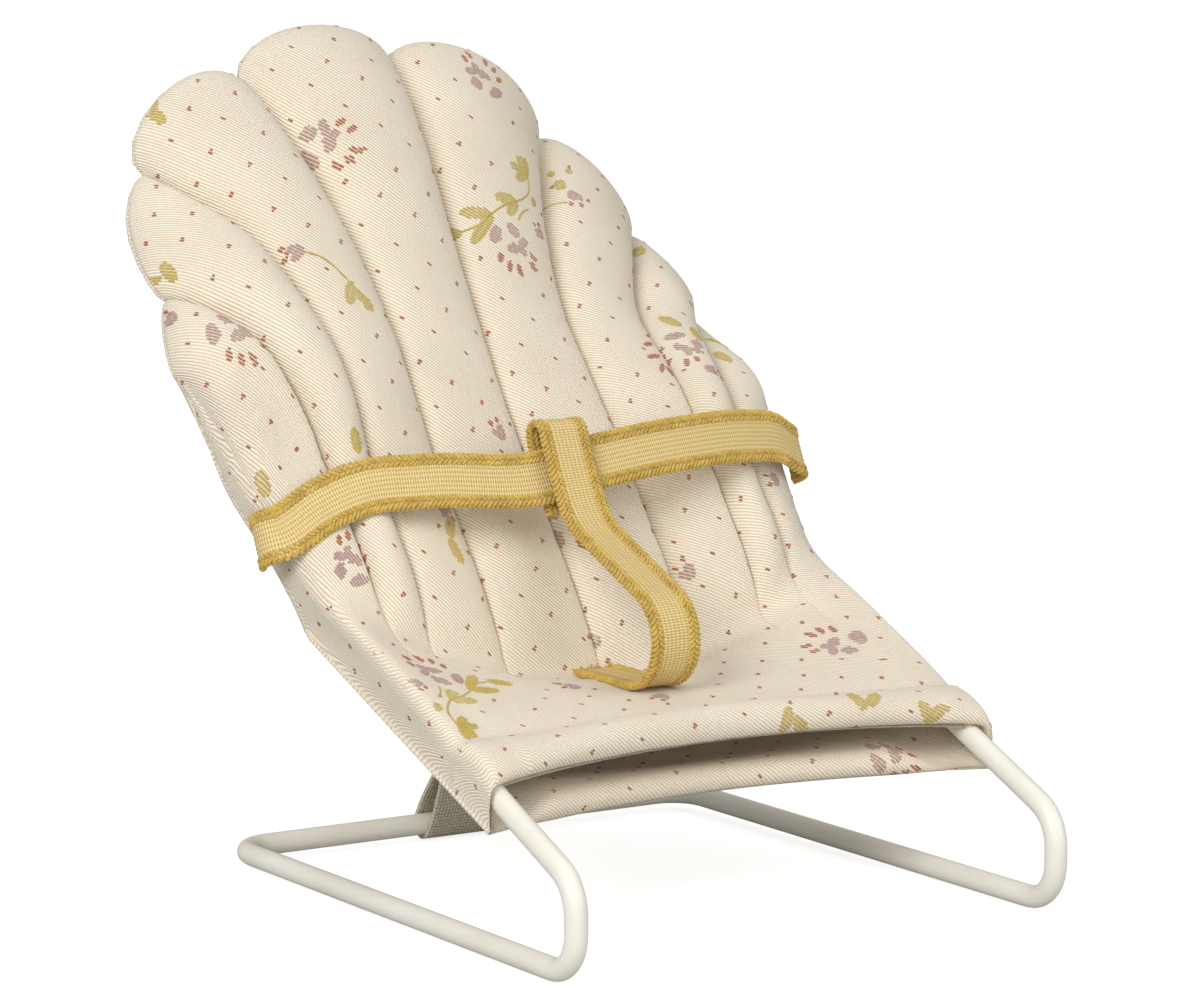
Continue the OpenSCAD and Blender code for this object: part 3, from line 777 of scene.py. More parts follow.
def build_panel():
    """Closed padded panel: the skin, and an under layer joined to it all round."""
    verts = [skin.reshape(-1, 3), under.reshape(-1, 3)]
    base = rows_n * cols_n
    faces = [list(f) for f in grid_faces(rows_n, cols_n)]
    nu = under.shape[1]
    faces += [[i + base for i in f] for f in grid_faces(rows_n, nu, flip=True)]
    sk = np.arange(base).reshape(rows_n, cols_n)
    un = np.arange(base, base + rows_n * nu).reshape(rows_n, nu)
    for j in range(rows_n - 1):
        faces.append([sk[j + 1, 0], sk[j, 0], un[j, 0], un[j + 1, 0]])
        faces.append([sk[j, -1], sk[j + 1, -1], un[j + 1, -1], un[j, -1]])
    for row, flip in ((0, False), (rows_n - 1, True)):
        a = sk[row, WRAP : cols_n - WRAP]
        for i in range(nu - 1):
            q = [a[i + 1], a[i], un[row, i], un[row, i + 1]]
            faces.append(q[::-1] if flip else q)
        left = [sk[row, i] for i in range(WRAP + 1)]
        right = [sk[row, i] for i in range(cols_n - WRAP - 1, cols_n)]
        for strip, hub in ((left, un[row, 0]), (right, un[row, -1])):
            for i in range(WRAP):
                q = [strip[i + 1], strip[i], hub]
                faces.append(q[::-1] if flip else q)
    return np.vstack(verts), faces


panel_verts, panel_faces = build_panel()


def flatten():
    """The skin's flat cloth millimetres, by unwrapping it: x across from the middle, y up from the hem."""
    inner_n = top.shape[1]
    temp = make("flatten_temp", top.reshape(-1, 3), grid_faces(rows_n, inner_n), quilt_cloth)
    temp.data.uv_layers.new(name="UV")
    bpy.context.view_layer.objects.active = temp
    temp.select_set(True)
    bpy.ops.object.mode_set(mode="EDIT")
    bpy.ops.mesh.select_all(action="SELECT")
    bpy.ops.uv.unwrap(method="MINIMUM_STRETCH", iterations=12, margin=0.0)
    bpy.ops.object.mode_set(mode="OBJECT")
    uv = np.zeros(len(temp.data.loops) * 2)
    temp.data.uv_layers[0].data.foreach_get("uv", uv)
    loops = np.zeros(len(temp.data.loops), int)
    temp.data.loops.foreach_get("vertex_index", loops)
    flat = np.zeros((len(temp.data.vertices), 2))
    flat[loops] = uv.reshape(-1, 2)
    data = temp.data
    bpy.data.objects.remove(temp)
    bpy.data.meshes.remove(data)
    g = flat.reshape(rows_n, inner_n, 2)
    mid = inner_n // 2
    foot, head = g[0, mid], g[rows_n - 8, mid]
    up = unit(head - foot)
    right = np.array([up[1], -up[0]])
    if ((g[40, -1] - g[40, 0]) @ right) < 0:
        right = -right
    real = np.linalg.norm(np.diff(top, axis=1), axis=-1)[20:100, 10:-10].sum()
    drawn = np.linalg.norm(np.diff(g, axis=1), axis=-1)[20:100, 10:-10].sum()
    g = np.stack([(g - foot) @ right, (g - foot) @ up], -1) * real / drawn
    for _ in range(4):
        g[1:-1, -1] = (g[:-2, -1] + g[2:, -1]) / 2
    sides = []
    for edge, wrap in ((0, left_wrap), (-1, right_wrap)):
        line = g[:, edge]
        along = unit(np.gradient(line, axis=0))
        out = np.stack([along[:, 1], -along[:, 0]], -1) * (-1 if edge == 0 else 1)
        run = np.concatenate([top[:, edge][:, None], wrap], 1)
        reach = np.linalg.norm(np.diff(run, axis=1), axis=-1).cumsum(1)
        sides.append(line[:, None] + out[:, None] * reach[..., None])
    return np.concatenate([sides[0][:, ::-1], g, sides[1]], 1)


flat_skin = flatten()
under_flat = flat_skin[:, WRAP : cols_n - WRAP]
UNDER_LAYER = -5.0
skin_flat = np.dstack([flat_skin, np.zeros(flat_skin.shape[:2])])
under_flat = np.dstack([under_flat, np.full(under_flat.shape[:2], UNDER_LAYER)])
panel_flat = np.vstack([skin_flat.reshape(-1, 3), under_flat.reshape(-1, 3)])

panel = make("quilted_panel", panel_verts, panel_faces, quilt_cloth)
attribute(panel, "flat", panel_flat)
settle(panel)
subdivide(panel)
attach(panel, "seat")
channel_names = [f"{side}_channel_{n}" for side in ("left", "right") for n in range(1, 5)]
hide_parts(*channel_names, "seat_pad", "front_hem", "left_side_seam", "right_side_seam")

# ---------------------------------------------------------------- backing cloth

LINING_T = 0.55


# rounded front edge of the plain cloth: share of the run, height and set-back from the flat edge
LIP = [
    (0.0, -0.45, 0.9), (0.0, 0.1, 0.15), (0.0, 0.9, -0.25), (0.0, 1.7, -0.2),
    (0.0, 2.4, 0.2), (0.006, 2.85, 0.7), (0.02, 3.05, 1.1), (0.04, 3.0, 1.3),
]
LIP_REST = [[0.04, 3.0], [0.2, 1.9], [0.36, 0.5], [0.5, 0.0]]


def lining_grid():
    n = 65
    us = np.linspace(-4, 4, n)
    rows = []
    plan = LIP + [(t, float(curve(t, LIP_REST)), 1.3 * (1 - t)) for t in np.linspace(0, 1, 30)[2:-1]]
    for t, up, back in plan:
        x = np.sign(us) * fold_at(us) * HEM_HALF / CREASE_HALF
        x = x + (np.sign(us) * fold_at(us) - x) * t
        x = np.clip(x, -46.3, 46.3)
        full = 1 - curve(np.abs(x), [[30, 0], [40, 1]])
        row = sling_pt(x, t + 0 * x, 0 * x)
        rows.append(row + np.stack([0 * x, back * full, up * full], -1))
    for t in np.linspace(0, 1, 74):
        x, s = shell_xs(us, t + 0 * us)
        side = np.clip(np.abs(us) - 3, 0, 1)
        close_rim = curve(t, [[0.88, 0], [1.0, 1]]) * (1 - side)
        close_side = curve(t, [[0.55, 0], [1.0, 1]]) * side
        close = close_rim + close_side
        h = base_set(x, s) * (1 - close) + set_at(x, s) * close + BACKING_H + 4.0 * close
        rows.append(back_pt(x * (1 - 0.006), s, h))
    return np.array(rows)


lining = lining_grid()
ln, lm = lining.shape[:2]
normal = unit(np.cross(np.gradient(lining, axis=1), np.gradient(lining, axis=0)))
inner = lining + normal * LINING_T / 2
outer = lining - normal * LINING_T / 2
verts = np.vstack([inner.reshape(-1, 3), outer.reshape(-1, 3)])
base = ln * lm
faces = [list(f) for f in grid_faces(ln, lm)] + [[i + base for i in f] for f in grid_faces(ln, lm, flip=True)]
idx = np.arange(base).reshape(ln, lm)
rim_loop = np.concatenate([idx[0], idx[1:, -1], idx[-1, -2::-1], idx[-2:0:-1, 0]])
for a, b in zip(rim_loop, np.roll(rim_loop, -1)):
    faces.append([a, a + base, b + base, b])
backing = make("backing_cloth", verts, faces, plain_cloth)
step_x = np.linalg.norm(np.diff(lining, axis=1, prepend=lining[:, :1]), axis=-1).cumsum(1)
step_x -= step_x[:, lm // 2 : lm // 2 + 1]
step_y = np.linalg.norm(np.diff(lining[:, lm // 2], axis=0, prepend=lining[:1, lm // 2]), axis=-1).cumsum()
lining_flat = np.stack([step_x, np.broadcast_to(step_y[:, None], step_x.shape)], -1).reshape(-1, 2)
lining_flat = np.column_stack([lining_flat, np.zeros(len(lining_flat))])
attribute(backing, "flat", np.vstack([lining_flat, lining_flat + [0, 0, UNDER_LAYER]]))
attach(backing, "seat")
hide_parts("back_lining", "seat_lining")

# ---------------------------------------------------------------- wire frame


def arc(centre, r, start, end, n):
    """Points of an arc in the Y-Z plane; angles from +Y towards +Z."""
    a = np.linspace(start, end, n)
    return np.stack([0 * a + centre[0], centre[1] + r * cosd(a), centre[2] + r * sind(a)], -1)


# centreline radii of the rear corners, the lower and upper front curves, and the curve at the crease
CORNER_R = 5.8
FOOT_R = 6
UPPER_R = 7
KNEE_R = 16
# the arch inside the back: where it springs from the side wires, and its rise
ARCH_S = 64
ARCH_RISE = 40


def arch_points(turn):
    """The wire over the top of the back, by degrees from its right foot."""
    x, s = LEG_X * cosd(turn), ARCH_S + ARCH_RISE * sind(turn)
    return back_pt(x, s, base_set(x, s) + WIRE_H)


def wire_path():
    """The right side of the frame, from the middle of the rear bar to the foot of the arch."""
    x, r = LEG_X, WIRE_R
    slope = (BAR_Z - r) / BASE_DEPTH
    corner = CORNER_R
    bar = np.stack([np.linspace(0, x - corner, 46)[:-1], np.full(45, BASE_DEPTH), np.full(45, BAR_Z)], -1)
    a = np.linspace(90, 0, 14)
    turn = np.stack([x - corner + corner * cosd(a), BASE_DEPTH - corner + corner * sind(a), 0 * a], -1)
    ys = np.linspace(BASE_DEPTH - corner, -0.5, 100)[1:-1]
    leg = np.stack([0 * ys + x, ys, 0 * ys], -1)
    for part in (turn, leg):
        part[:, 2] = r + np.maximum(part[:, 1], 0) * slope
    low = arc((x, -0.5, r + FOOT_R), FOOT_R, 270, 180, 14)
    upper_z = FLEX_Z + 1.2
    riser = np.array([[x, FLEX_Y, FLEX_Z - 0.7], [x, FLEX_Y, FLEX_Z], [x, FLEX_Y, FLEX_Z + 0.7]])
    high = arc((x, FLEX_Y + UPPER_R, upper_z), UPPER_R, 180, 90 + SEAT_SLOPE, 15)
    run = np.array([FLEX_Y + UPPER_R * (1 - sind(SEAT_SLOPE)), upper_z + UPPER_R * cosd(SEAT_SLOPE)])
    grade = math.tan(math.radians(SEAT_SLOPE))
    drop = run[1] - BACK_Z - WIRE_H * cosd(BACK_SLOPE)
    drop = drop + grade * (BACK_Y - WIRE_H * sind(BACK_SLOPE) - run[0])
    knee_s = drop / (sind(BACK_SLOPE) - grade * cosd(BACK_SLOPE))
    knee = back_pt(np.array(0.0), np.array(knee_s), np.array(WIRE_H))
    cut = KNEE_R * math.tan(math.radians((BACK_SLOPE - SEAT_SLOPE) / 2))
    knee_start = knee - cut * np.array([0, cosd(SEAT_SLOPE), sind(SEAT_SLOPE)])
    ys = np.linspace(run[0], knee_start[1], 60)[1:]
    seat = np.stack([0 * ys + x, ys, run[1] + (ys - run[0]) * grade], -1)
    centre = knee_start + KNEE_R * np.array([0, -sind(SEAT_SLOPE), cosd(SEAT_SLOPE)])
    a = np.linspace(SEAT_SLOPE, BACK_SLOPE, 9)[1:]
    bend = np.stack([0 * a + x, centre[1] + KNEE_R * sind(a), centre[2] - KNEE_R * cosd(a)], -1)
    rise = back_pt(0 * RISE_S + x, RISE_S, base_set(0 * RISE_S + x, RISE_S) + WIRE_H)
    return np.vstack([bar, turn, leg, low, riser, high, seat, bend, rise])


RISE_S = np.linspace(32, ARCH_S, 33)
right_side = wire_path()
# the back's twist makes the arch lopsided, so the left side's rise is drawn on its own
down_s = RISE_S[::-1]
left_rise = back_pt(0 * down_s - LEG_X, down_s, base_set(LEG_X, down_s) + WIRE_H)
left_side = (right_side * [-1, 1, 1])[: len(right_side) - len(RISE_S)][::-1]
arch = arch_points(np.linspace(0, 180, 119)[1:-1])
wire_line = np.vstack([right_side, arch, left_rise, left_side])
gaps = np.linalg.norm(np.diff(wire_line, axis=0), axis=-1)
wire_line = wire_line[np.append(True, gaps > 0.05)]
for step in range(2):
    wire_line[1:-1] += 0.25 * (wire_line[:-2] + wire_line[2:] - 2 * wire_line[1:-1])


def parallel_frames(path):
    """Side directions that turn as little as possible along the path."""
    t = unit(np.gradient(path, axis=0))
    side = [unit(np.cross(t[0], [0.3, 1, 0.5]))]
    for k in range(1, len(path)):
        v = side[-1] - (side[-1] @ t[k]) * t[k]
        side.append(unit(v))
    return np.array(side)


v, f = tube(wire_line, WIRE_R, 24, parallel_frames(wire_line))
wire = make("wire_frame", v, f, ivory_paint)
WIRE_PARTS = ("leg", "lower_bend", "upper_bend", "seat_wire", "back_wire")
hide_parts("rear_bar", *[f"{s}_{n}" for s in ("left", "right") for n in WIRE_PARTS], "top_wire")
world([0, FLEX_Y, FLEX_Z - 4])
world([0, FLEX_Y, FLEX_Z + 4])
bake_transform(wire)

# ---------------------------------------------------------------- webbing

WEB_W = 8.8
BRAID_W = 1.95
BRAID_PITCH = 0.8
# half widths of one braid yarn, along the webbing and off it
BRAID_R = (0.3, 0.36)


def resample(path, spacing):
    d = np.append(0, np.linalg.norm(np.diff(path, axis=0), axis=-1).cumsum())
    n = max(2, int(round(d[-1] / spacing)) + 1)
    t = np.linspace(0, d[-1], n)
    return np.stack([np.interp(t, d, path[:, i]) for i in range(3)], -1), t


def ribbon_flat(dist, section):
    """Flat millimetres of a lofted strap: across its width, then along its length."""
    shape = (len(dist), len(section))
    wide = np.broadcast_to([w for w, _ in section], shape)
    return np.stack([wide, np.broadcast_to(dist[:, None], shape)], -1).reshape(-1, 2)


def webbing(name, path, side, width=WEB_W):
    """A woven strap along a path: returns its ribbed ribbon and the braid along both edges."""
    line, dist = resample(np.asarray(path, float), 0.5)
    t, s, n = frames(line, side)
    half_w = width / 2
    ws = np.linspace(-half_w + 0.35, half_w - 0.35, 27)
    core = half_w - BRAID_W
    ribs = np.where(np.abs(ws) < core, 0.36 + 0.05 * np.cos(ws * 2 * math.pi / 0.74), 0.27)
    section = [(w, r) for w, r in zip(ws, ribs)] + [(w, -r) for w, r in zip(ws[::-1], ribs[::-1])]
    rings = np.stack([line + w * s + h * n for w, h in section], 1)
    v, f = loft(rings)
    ribbon = make(name, v, f, web_centre)
    flat = ribbon_flat(dist, section)
    attribute(ribbon, "flat", np.vstack([flat, [[0, 0], [0, dist[-1]]]]))
    parts = []
    marks = np.arange(0.2, dist[-1] - 0.2, BRAID_PITCH)
    radii = [np.full(len(marks), r) for r in BRAID_R]

    def along(m, values):
        return np.stack([np.interp(m, dist, values[:, i]) for i in range(3)], -1)

    for edge in (-1, 1):
        for face in (-1, 1):
            lanes = ((half_w - BRAID_W, half_w - 1.1, 1), (half_w - 1.15, half_w - 0.1, -1))
            for lane, (w0, w1, slant) in enumerate(lanes):
                m = marks + (0.4 if lane else 0)
                jitter = 0.05 * np.sin(m * 5.1 + edge + face * 2)
                out, up = along(m, s), along(m, n)
                a = along(m - 0.56 * slant, line) + out * (edge * w0 + jitter[:, None]) + up * face * 0.33
                b = along(m + 0.56 * slant, line) + out * (edge * w1 + jitter[:, None]) + up * face * 0.30
                parts.append(capsules(a, b, up * face, *radii))
        m = marks
        out, up = along(m, s), along(m, n)
        a = along(m - 0.36, line) + out * edge * (half_w - 0.2)
        b = along(m + 0.36, line) + out * edge * (half_w - 0.12)
        parts.append(capsules(a, b, up, *radii))
    v, f = merged(*parts)
    braid = make(name + "_braid", v, f, mustard_thread)
    return ribbon, braid


WAIST_Y, WAIST_Z, WAIST_LEAN = 59.6, 64.7, 25.0
# how the strap rises and dips from end to end, by distance across
WAIST_RISE = [
    [-50, -4.0], [-43, -0.8], [-38, 0.7], [-27, 0.5], [-8, -1.2],
    [4, 0.8], [20, 2.9], [36, 4.2], [43, 4.0], [48, 2.2],
]
WAIST_LEFT, WAIST_RIGHT = 49.6, 47.2
WAIST_HALF, WAIST_BOW = 50.0, 9.0
waist_r = (WAIST_HALF**2 + WAIST_BOW**2) / (2 * WAIST_BOW)
span_left, span_right = (math.degrees(math.asin(w / waist_r)) for w in (WAIST_LEFT, WAIST_RIGHT))


def waist_place(p):
    """From the strap's own plane (x, y from the arc's middle, z across the webbing) to the part's frame."""
    x, y, z = p[..., 0], p[..., 1], p[..., 2]
    c, s = cosd(WAIST_LEAN), sind(WAIST_LEAN)
    rise = curve(x, WAIST_RISE)
    return np.stack([x, WAIST_Y + y * c + z * s, WAIST_Z - y * s + z * c + rise], -1)


a = np.linspace(-span_left, span_right, 121)
bow = np.stack([waist_r * sind(a), waist_r * (1 - cosd(a)), 0 * a], -1)
CURL = 3.0
b = np.linspace(0, 110, 12)[1:]


def curl_end(side):
    c, s = (cosd(span_right), sind(span_right)) if side > 0 else (cosd(span_left), sind(span_left))
    end = np.array([waist_r * s, waist_r * (1 - c), 0.0])
    fwd = np.array([c, s, 0.0])
    inn = np.array([-s, c, 0.0])
    pts = end + CURL * sind(b)[:, None] * fwd + CURL * (1 - cosd(b))[:, None] * inn
    return pts * [side, 1, 1]


waist_line = np.vstack([curl_end(-1)[::-1], bow, curl_end(1)])
across = waist_place(np.array([[0, 0, 1.0]])) - waist_place(np.array([[0, 0, 0.0]]))
ribbon, braid = webbing("waist_webbing", waist_place(waist_line), across[0])
for o in (ribbon, braid):
    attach(o, "seat")
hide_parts("waist_strap", "left_strap_end", "right_strap_end")

# crotch strap, from its sewn end on the seat up to its loop round the waist strap
LOOP_R, LOOP_LEN = 2.0, 11.5
tie = np.array([
    WAIST_Y - LOOP_LEN / 2 * sind(WAIST_LEAN) - LOOP_R * cosd(WAIST_LEAN),
    WAIST_Z - LOOP_LEN / 2 * cosd(WAIST_LEAN) + LOOP_R * sind(WAIST_LEAN),
])
BEND = 7.6
rise = tie - np.array([CROTCH_Y - BEND * sind(WAIST_LEAN), CROTCH_Z + BEND * (1 + cosd(WAIST_LEAN))])
slant = cosd(WAIST_LEAN) - sind(WAIST_LEAN)
run_len = (rise[0] - rise[1]) / slant
tie_bend = (rise[1] - run_len * sind(WAIST_LEAN)) / slant
foot = np.stack([np.linspace(52.8, 38.5, 24), np.full(24, CROTCH_Z)], -1)
q = np.linspace(0, 180 - WAIST_LEAN, 30)
front = np.array([CROTCH_Y, CROTCH_Z + BEND]) + BEND * np.stack([-sind(q), -cosd(q)], -1)
q = np.linspace(WAIST_LEAN, 90 - WAIST_LEAN, 10)
last = tie - tie_bend * np.stack([cosd(WAIST_LEAN) - sind(q), cosd(q) - sind(WAIST_LEAN)], -1)
up = np.array([sind(WAIST_LEAN), cosd(WAIST_LEAN)])
outw = np.array([cosd(WAIST_LEAN), -sind(WAIST_LEAN)])
ply = tie + np.linspace(0.5, LOOP_LEN, 20)[:, None] * up
q = np.linspace(0, 180, 14)[1:]
over = tie + LOOP_LEN * up + LOOP_R * outw
over = over + LOOP_R * np.stack([sind(q) * up[0] - cosd(q) * outw[0], sind(q) * up[1] - cosd(q) * outw[1]], -1)
down = over[-1] - np.linspace(0.5, LOOP_LEN + 1.0, 20)[:, None] * up
yz = np.vstack([foot, front, last, ply, over, down])
keep = np.append(True, np.linalg.norm(np.diff(yz, axis=0), axis=-1) > 0.02)
yz = yz[keep]
crotch_x = curve(yz[:, 1], [[CROTCH_Z, -1.2], [48, -1.6], [tie[1] + 6, -2.6]])
crotch_line = np.column_stack([crotch_x, yz])
cribbon, cbraid = webbing("crotch_webbing", crotch_line, (1, 0, 0))
for o in (cribbon, cbraid):
    world([0, CROTCH_Y + 2, CROTCH_Z])
    world([0, CROTCH_Y - 5, CROTCH_Z + 12])
    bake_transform(o)
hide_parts("crotch_strap_foot", "crotch_strap", "crotch_loop", "crotch_tack")


def frayed_end():
    """Loose yarn ends where the crotch strap was cut and sewn down."""
    k = np.arange(34)
    x = crotch_line[0, 0] - WEB_W / 2 + WEB_W * k / 33
    root = np.stack([x, 52.5 + 0 * x, CROTCH_Z + 0.15 + 0.25 * np.sin(k * 2.7)], -1)
    reach = np.stack([0.9 * np.sin(k * 5.3), 1.1 + 0.7 * np.sin(k * 3.1), 0.35 + 0.45 * np.sin(k * 7.9)], -1)
    return capsules(root, root + reach, (0, 0, 1), np.full(len(k), 0.16), np.full(len(k), 0.14), sides=6)


v, f = frayed_end()
fray = make("crotch_strap_fray", v, f, mustard_thread)
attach(fray, "seat")

# ---------------------------------------------------------------- tether

TETHER_X, TETHER_W, TETHER_T = -0.8, 15.5, 0.8
tether_top = back_pt(np.array(0.0), np.array(21.0), np.array(BACKING_H - 0.9))
bar = np.array([BASE_DEPTH, BAR_Z])
head = np.array([tether_top[1], tether_top[2]])
pull = unit(head - bar)
sidew = np.array([-pull[1], pull[0]])
ring = WIRE_R + TETHER_T / 2 + 0.05
q = np.linspace(12, -192, 40)
loop = bar + ring * (np.outer(cosd(q), sidew) + np.outer(sind(q), pull))
run = np.linalg.norm(head - bar)
d = np.linspace(run - 0.3, 2.0, 44)
open_w = 0.42 + 1.9 * curve(d, [[2.0, 1], [9.0, 0.45], [22.0, 0.0]])
ply_a = bar + d[:, None] * pull + open_w[:, None] * sidew
ply_b = (bar + d[:, None] * pull - open_w[:, None] * sidew)[::-1]
yz = np.vstack([ply_a, loop, ply_b])
for step in range(8):
    yz[1:-1] += 0.3 * (yz[:-2] + yz[2:] - 2 * yz[1:-1])
tether_line = np.stack([0 * yz[:, 0] + TETHER_X, yz[:, 0], yz[:, 1]], -1)
line, dist = resample(tether_line, 0.7)
t, s, n = frames(line, (1, 0, 0))
ws = np.linspace(-TETHER_W / 2, TETHER_W / 2, 25)
section = [(w, 0.32) for w in ws] + [(w, -0.32) for w in ws[::-1]]
rings = np.stack([line + w * s + h * n for w, h in section], 1)
v, f = loft(rings)
tether = make("tether_webbing", v, f, tether_cloth)
flat = ribbon_flat(dist, section)
attribute(tether, "flat", np.vstack([flat, [[0, 0], [0, dist[-1]]]]))
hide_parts("tether_loop", "tether_strap")
world([0, BASE_DEPTH, BAR_Z + 3])
world([0, head[0], head[1]])
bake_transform(tether)

# ---------------------------------------------------------------- woven motifs


class Cloth:
    """Finds places on a finished piece of cloth from its flat millimetres."""

    def __init__(self, obj):
        mesh = obj.data
        co = np.zeros(len(mesh.vertices) * 3)
        mesh.vertices.foreach_get("co", co)
        self.co = co.reshape(-1, 3) / MM + [MID_X, MID_Y, 0]
        flat = np.zeros(len(mesh.vertices) * 3)
        mesh.attributes["flat"].data.foreach_get("vector", flat)
        self.flat = flat.reshape(-1, 3)
        self.polys = [tuple(p.vertices) for p in mesh.polygons]
        keep = [k for k, p in enumerate(self.polys) if max(abs(self.flat[v][2]) for v in p) < 0.01]
        self.polys = [self.polys[k] for k in keep]
        self.tree = BVHTree.FromPolygons(self.flat.tolist(), self.polys)
        self.normals = np.array([mesh.polygons[k].normal for k in keep])

    def place(self, xy, lift):
        """Points on the cloth and their outward directions; a row off the cloth comes back as nan."""
        out, ups = [], []
        for x, y in xy:
            spot, _, index, dist = self.tree.find_nearest((x, y, 0.0))
            poly = self.polys[index]
            w = np.array(poly_3d_calc([Vector(self.flat[v]) for v in poly], spot))
            n = self.normals[index]
            point = w @ self.co[list(poly)] + n * lift
            out.append(point if dist < 0.05 else [math.nan] * 3)
            ups.append(n)
        return np.array(out), np.array(ups)


def rib_lines(inside, box):
    """Stretches of twill rib, in flat millimetres, that lie inside a shape."""
    ca, sa = cosd(TWILL_ANGLE), sind(TWILL_ANGLE)
    (x0, y0), (x1, y1) = box
    corners = np.array([(x0, y0), (x1, y0), (x0, y1), (x1, y1)])
    across = -corners[:, 0] * sa + corners[:, 1] * ca
    along = corners[:, 0] * ca + corners[:, 1] * sa
    runs = []
    for n in range(int(across.min() / TWILL_PITCH) - 1, int(across.max() / TWILL_PITCH) + 2):
        offset = (n + 0.25) * TWILL_PITCH
        d = np.arange(along.min(), along.max(), 0.11)
        p = np.stack([d * ca - offset * sa, d * sa + offset * ca], -1)
        shift = WANDER[2] * np.sin(WANDER[0] * p[:, 0] + WANDER[1] * p[:, 1])
        p = p - shift[:, None] * np.array([-sa, ca])
        ok = inside(p)
        k = 0
        while k < len(p):
            if not ok[k]:
                k += 1
                continue
            e = k
            while e + 1 < len(p) and ok[e + 1]:
                e += 1
            if e - k >= 2:
                runs.append(p[k : e + 1])
            k = e + 1
    return runs


def oval(a, b, width):
    """A leaf or petal from a to b as a shape test and its box."""
    a, b = np.array(a, float), np.array(b, float)
    mid, half = (a + b) / 2, np.linalg.norm(b - a) / 2
    t = (b - a) / (2 * half)
    n = np.array([-t[1], t[0]])

    def inside(p):
        q = p - mid
        u, v = (q @ t) / half, (q @ n) / (width / 2)
        return np.abs(u) ** 2.4 + np.abs(v) ** 2 < 1

    reach = half + width / 2
    return inside, (mid - reach, mid + reach)


class Motifs:
    """Gathers woven stitches by thread colour."""

    def __init__(self, cloth):
        self.cloth = cloth
        self.runs = {"rust": [], "mauve": [], "olive": []}

    def put(self, colour, place, a, b, width):
        inside, box = oval(place(a), place(b), width)
        self.runs[colour] += rib_lines(inside, box)

    def line(self, colour, place, points):
        points = np.array([place(p) for p in points])
        d = np.append(0, np.linalg.norm(np.diff(points, axis=0), axis=-1).cumsum())
        fine = np.arange(0, d[-1], 0.2)
        knots = [curve(fine, np.stack([d, points[:, i]], -1)) for i in (0, 1)]
        path = np.stack(knots, -1)
        for k in range(0, len(path) - 4, 4):
            self.runs[colour].append(path[k : k + 6])

    def build(self, colour, half_width, height):
        starts, ends, ups = [], [], []
        for run in self.runs[colour]:
            step = max(1, int(round(1.0 / 0.11)))
            marks = list(range(0, len(run) - 1, step)) + [len(run) - 1]
            if len(marks) > 2 and marks[-1] - marks[-2] < 3:
                marks.pop(-2)
            pts, n = self.cloth.place(run[marks], 0.0)
            for k in range(len(pts) - 1):
                if np.isnan(pts[k : k + 2]).any() or np.linalg.norm(pts[k + 1] - pts[k]) > 2.5:
                    continue
                starts.append(pts[k])
                ends.append(pts[k + 1])
                ups.append(n[k] + n[k + 1])
        starts, ends, ups = np.array(starts), np.array(ends), unit(np.array(ups))
        axis = ends - starts
        grow = 0.08 * unit(axis)
        lift = 0.03 * ups
        count = len(starts)
        wide, tall = np.full(count, half_width), np.full(count, height)
        return capsules(starts - grow + lift, ends + grow + lift, ups, wide, tall, sides=6)


def spot(x, y, turn=0.0, size=1.0, mirror=1):
    c, s_ = cosd(turn) * size, sind(turn) * size
    return lambda p: (x + mirror * p[0] * c - p[1] * s_, y + mirror * p[0] * s_ + p[1] * c)


# strokes of one flower head, in its own millimetres: both ends, and the petals' widths
PETALS = [
    ((-3.6, 0.4), (-1.4, 3.8), 2.0), ((-3.4, 2.6), (-1.6, 1.0), 1.6),
    ((0.6, 4.4), (2.4, 1.9), 2.0), ((0.4, 2.4), (2.8, 3.8), 1.5),
    ((1.8, 0.2), (4.2, 1.8), 1.7), ((-1.0, -0.2), (1.4, -0.9), 1.7),
    ((1.4, -0.2), (3.2, -1.4), 1.5), ((0.2, 0.6), (2.0, -0.6), 1.5),
]
RAYS = [
    ((-2.4, -1.3), (-3.3, -3.3)), ((-1.2, -2.9), (-1.9, -5.0)), ((0.3, -3.4), (0.4, -5.9)),
    ((3.9, -0.7), (5.3, -2.1)), ((3.1, -2.6), (4.6, -4.2)),
]
RAY_W = 1.15


def flower(m, place):
    for a, b, w in PETALS:
        m.put("mauve", place, a, b, w)
    for a, b in RAYS:
        m.put("rust", place, a, b, RAY_W)


def bud(m, place):
    m.put("mauve", place, (0, 0), (0.6, 2.8), 1.9)
    m.put("mauve", place, (0, 0.2), (-1.4, 2.2), 1.3)
    m.put("rust", place, (-0.8, 2.6), (-1.6, 3.6), 0.9)
    m.put("rust", place, (0.5, 3.0), (0.6, 4.2), 0.9)


def tulip(m, place):
    for tip, w in (((-4.0, 1.2), 1.9), ((-1.3, 3.4), 2.3), ((0.8, 3.5), 1.8), ((-3.4, -1.6), 1.8)):
        m.put("olive", place, (0, -0.2), tip, w)


def leaf(m, place, length=4.6, width=2.2):
    m.put("olive", place, (0, 0), (0, length), width)


SPRIG_STEM = [(8.9, 15.6), (8.2, 12.0), (5.6, 9.8), (1.5, 8.0), (-2.0, 6.0), (-5.4, 3.6), (-8.2, 2.9)]
SPRIG_LEAVES = [
    ((-13.3, 3.7), (-8.2, 2.8), 2.6), ((-7.7, 6.3), (-1.9, 5.7), 2.4), ((-1.9, 5.7), (-7.4, 0.4), 2.0),
    ((-0.6, 9.2), (4.1, 9.2), 2.2), ((4.1, 9.3), (1.4, 6.0), 2.0),
]


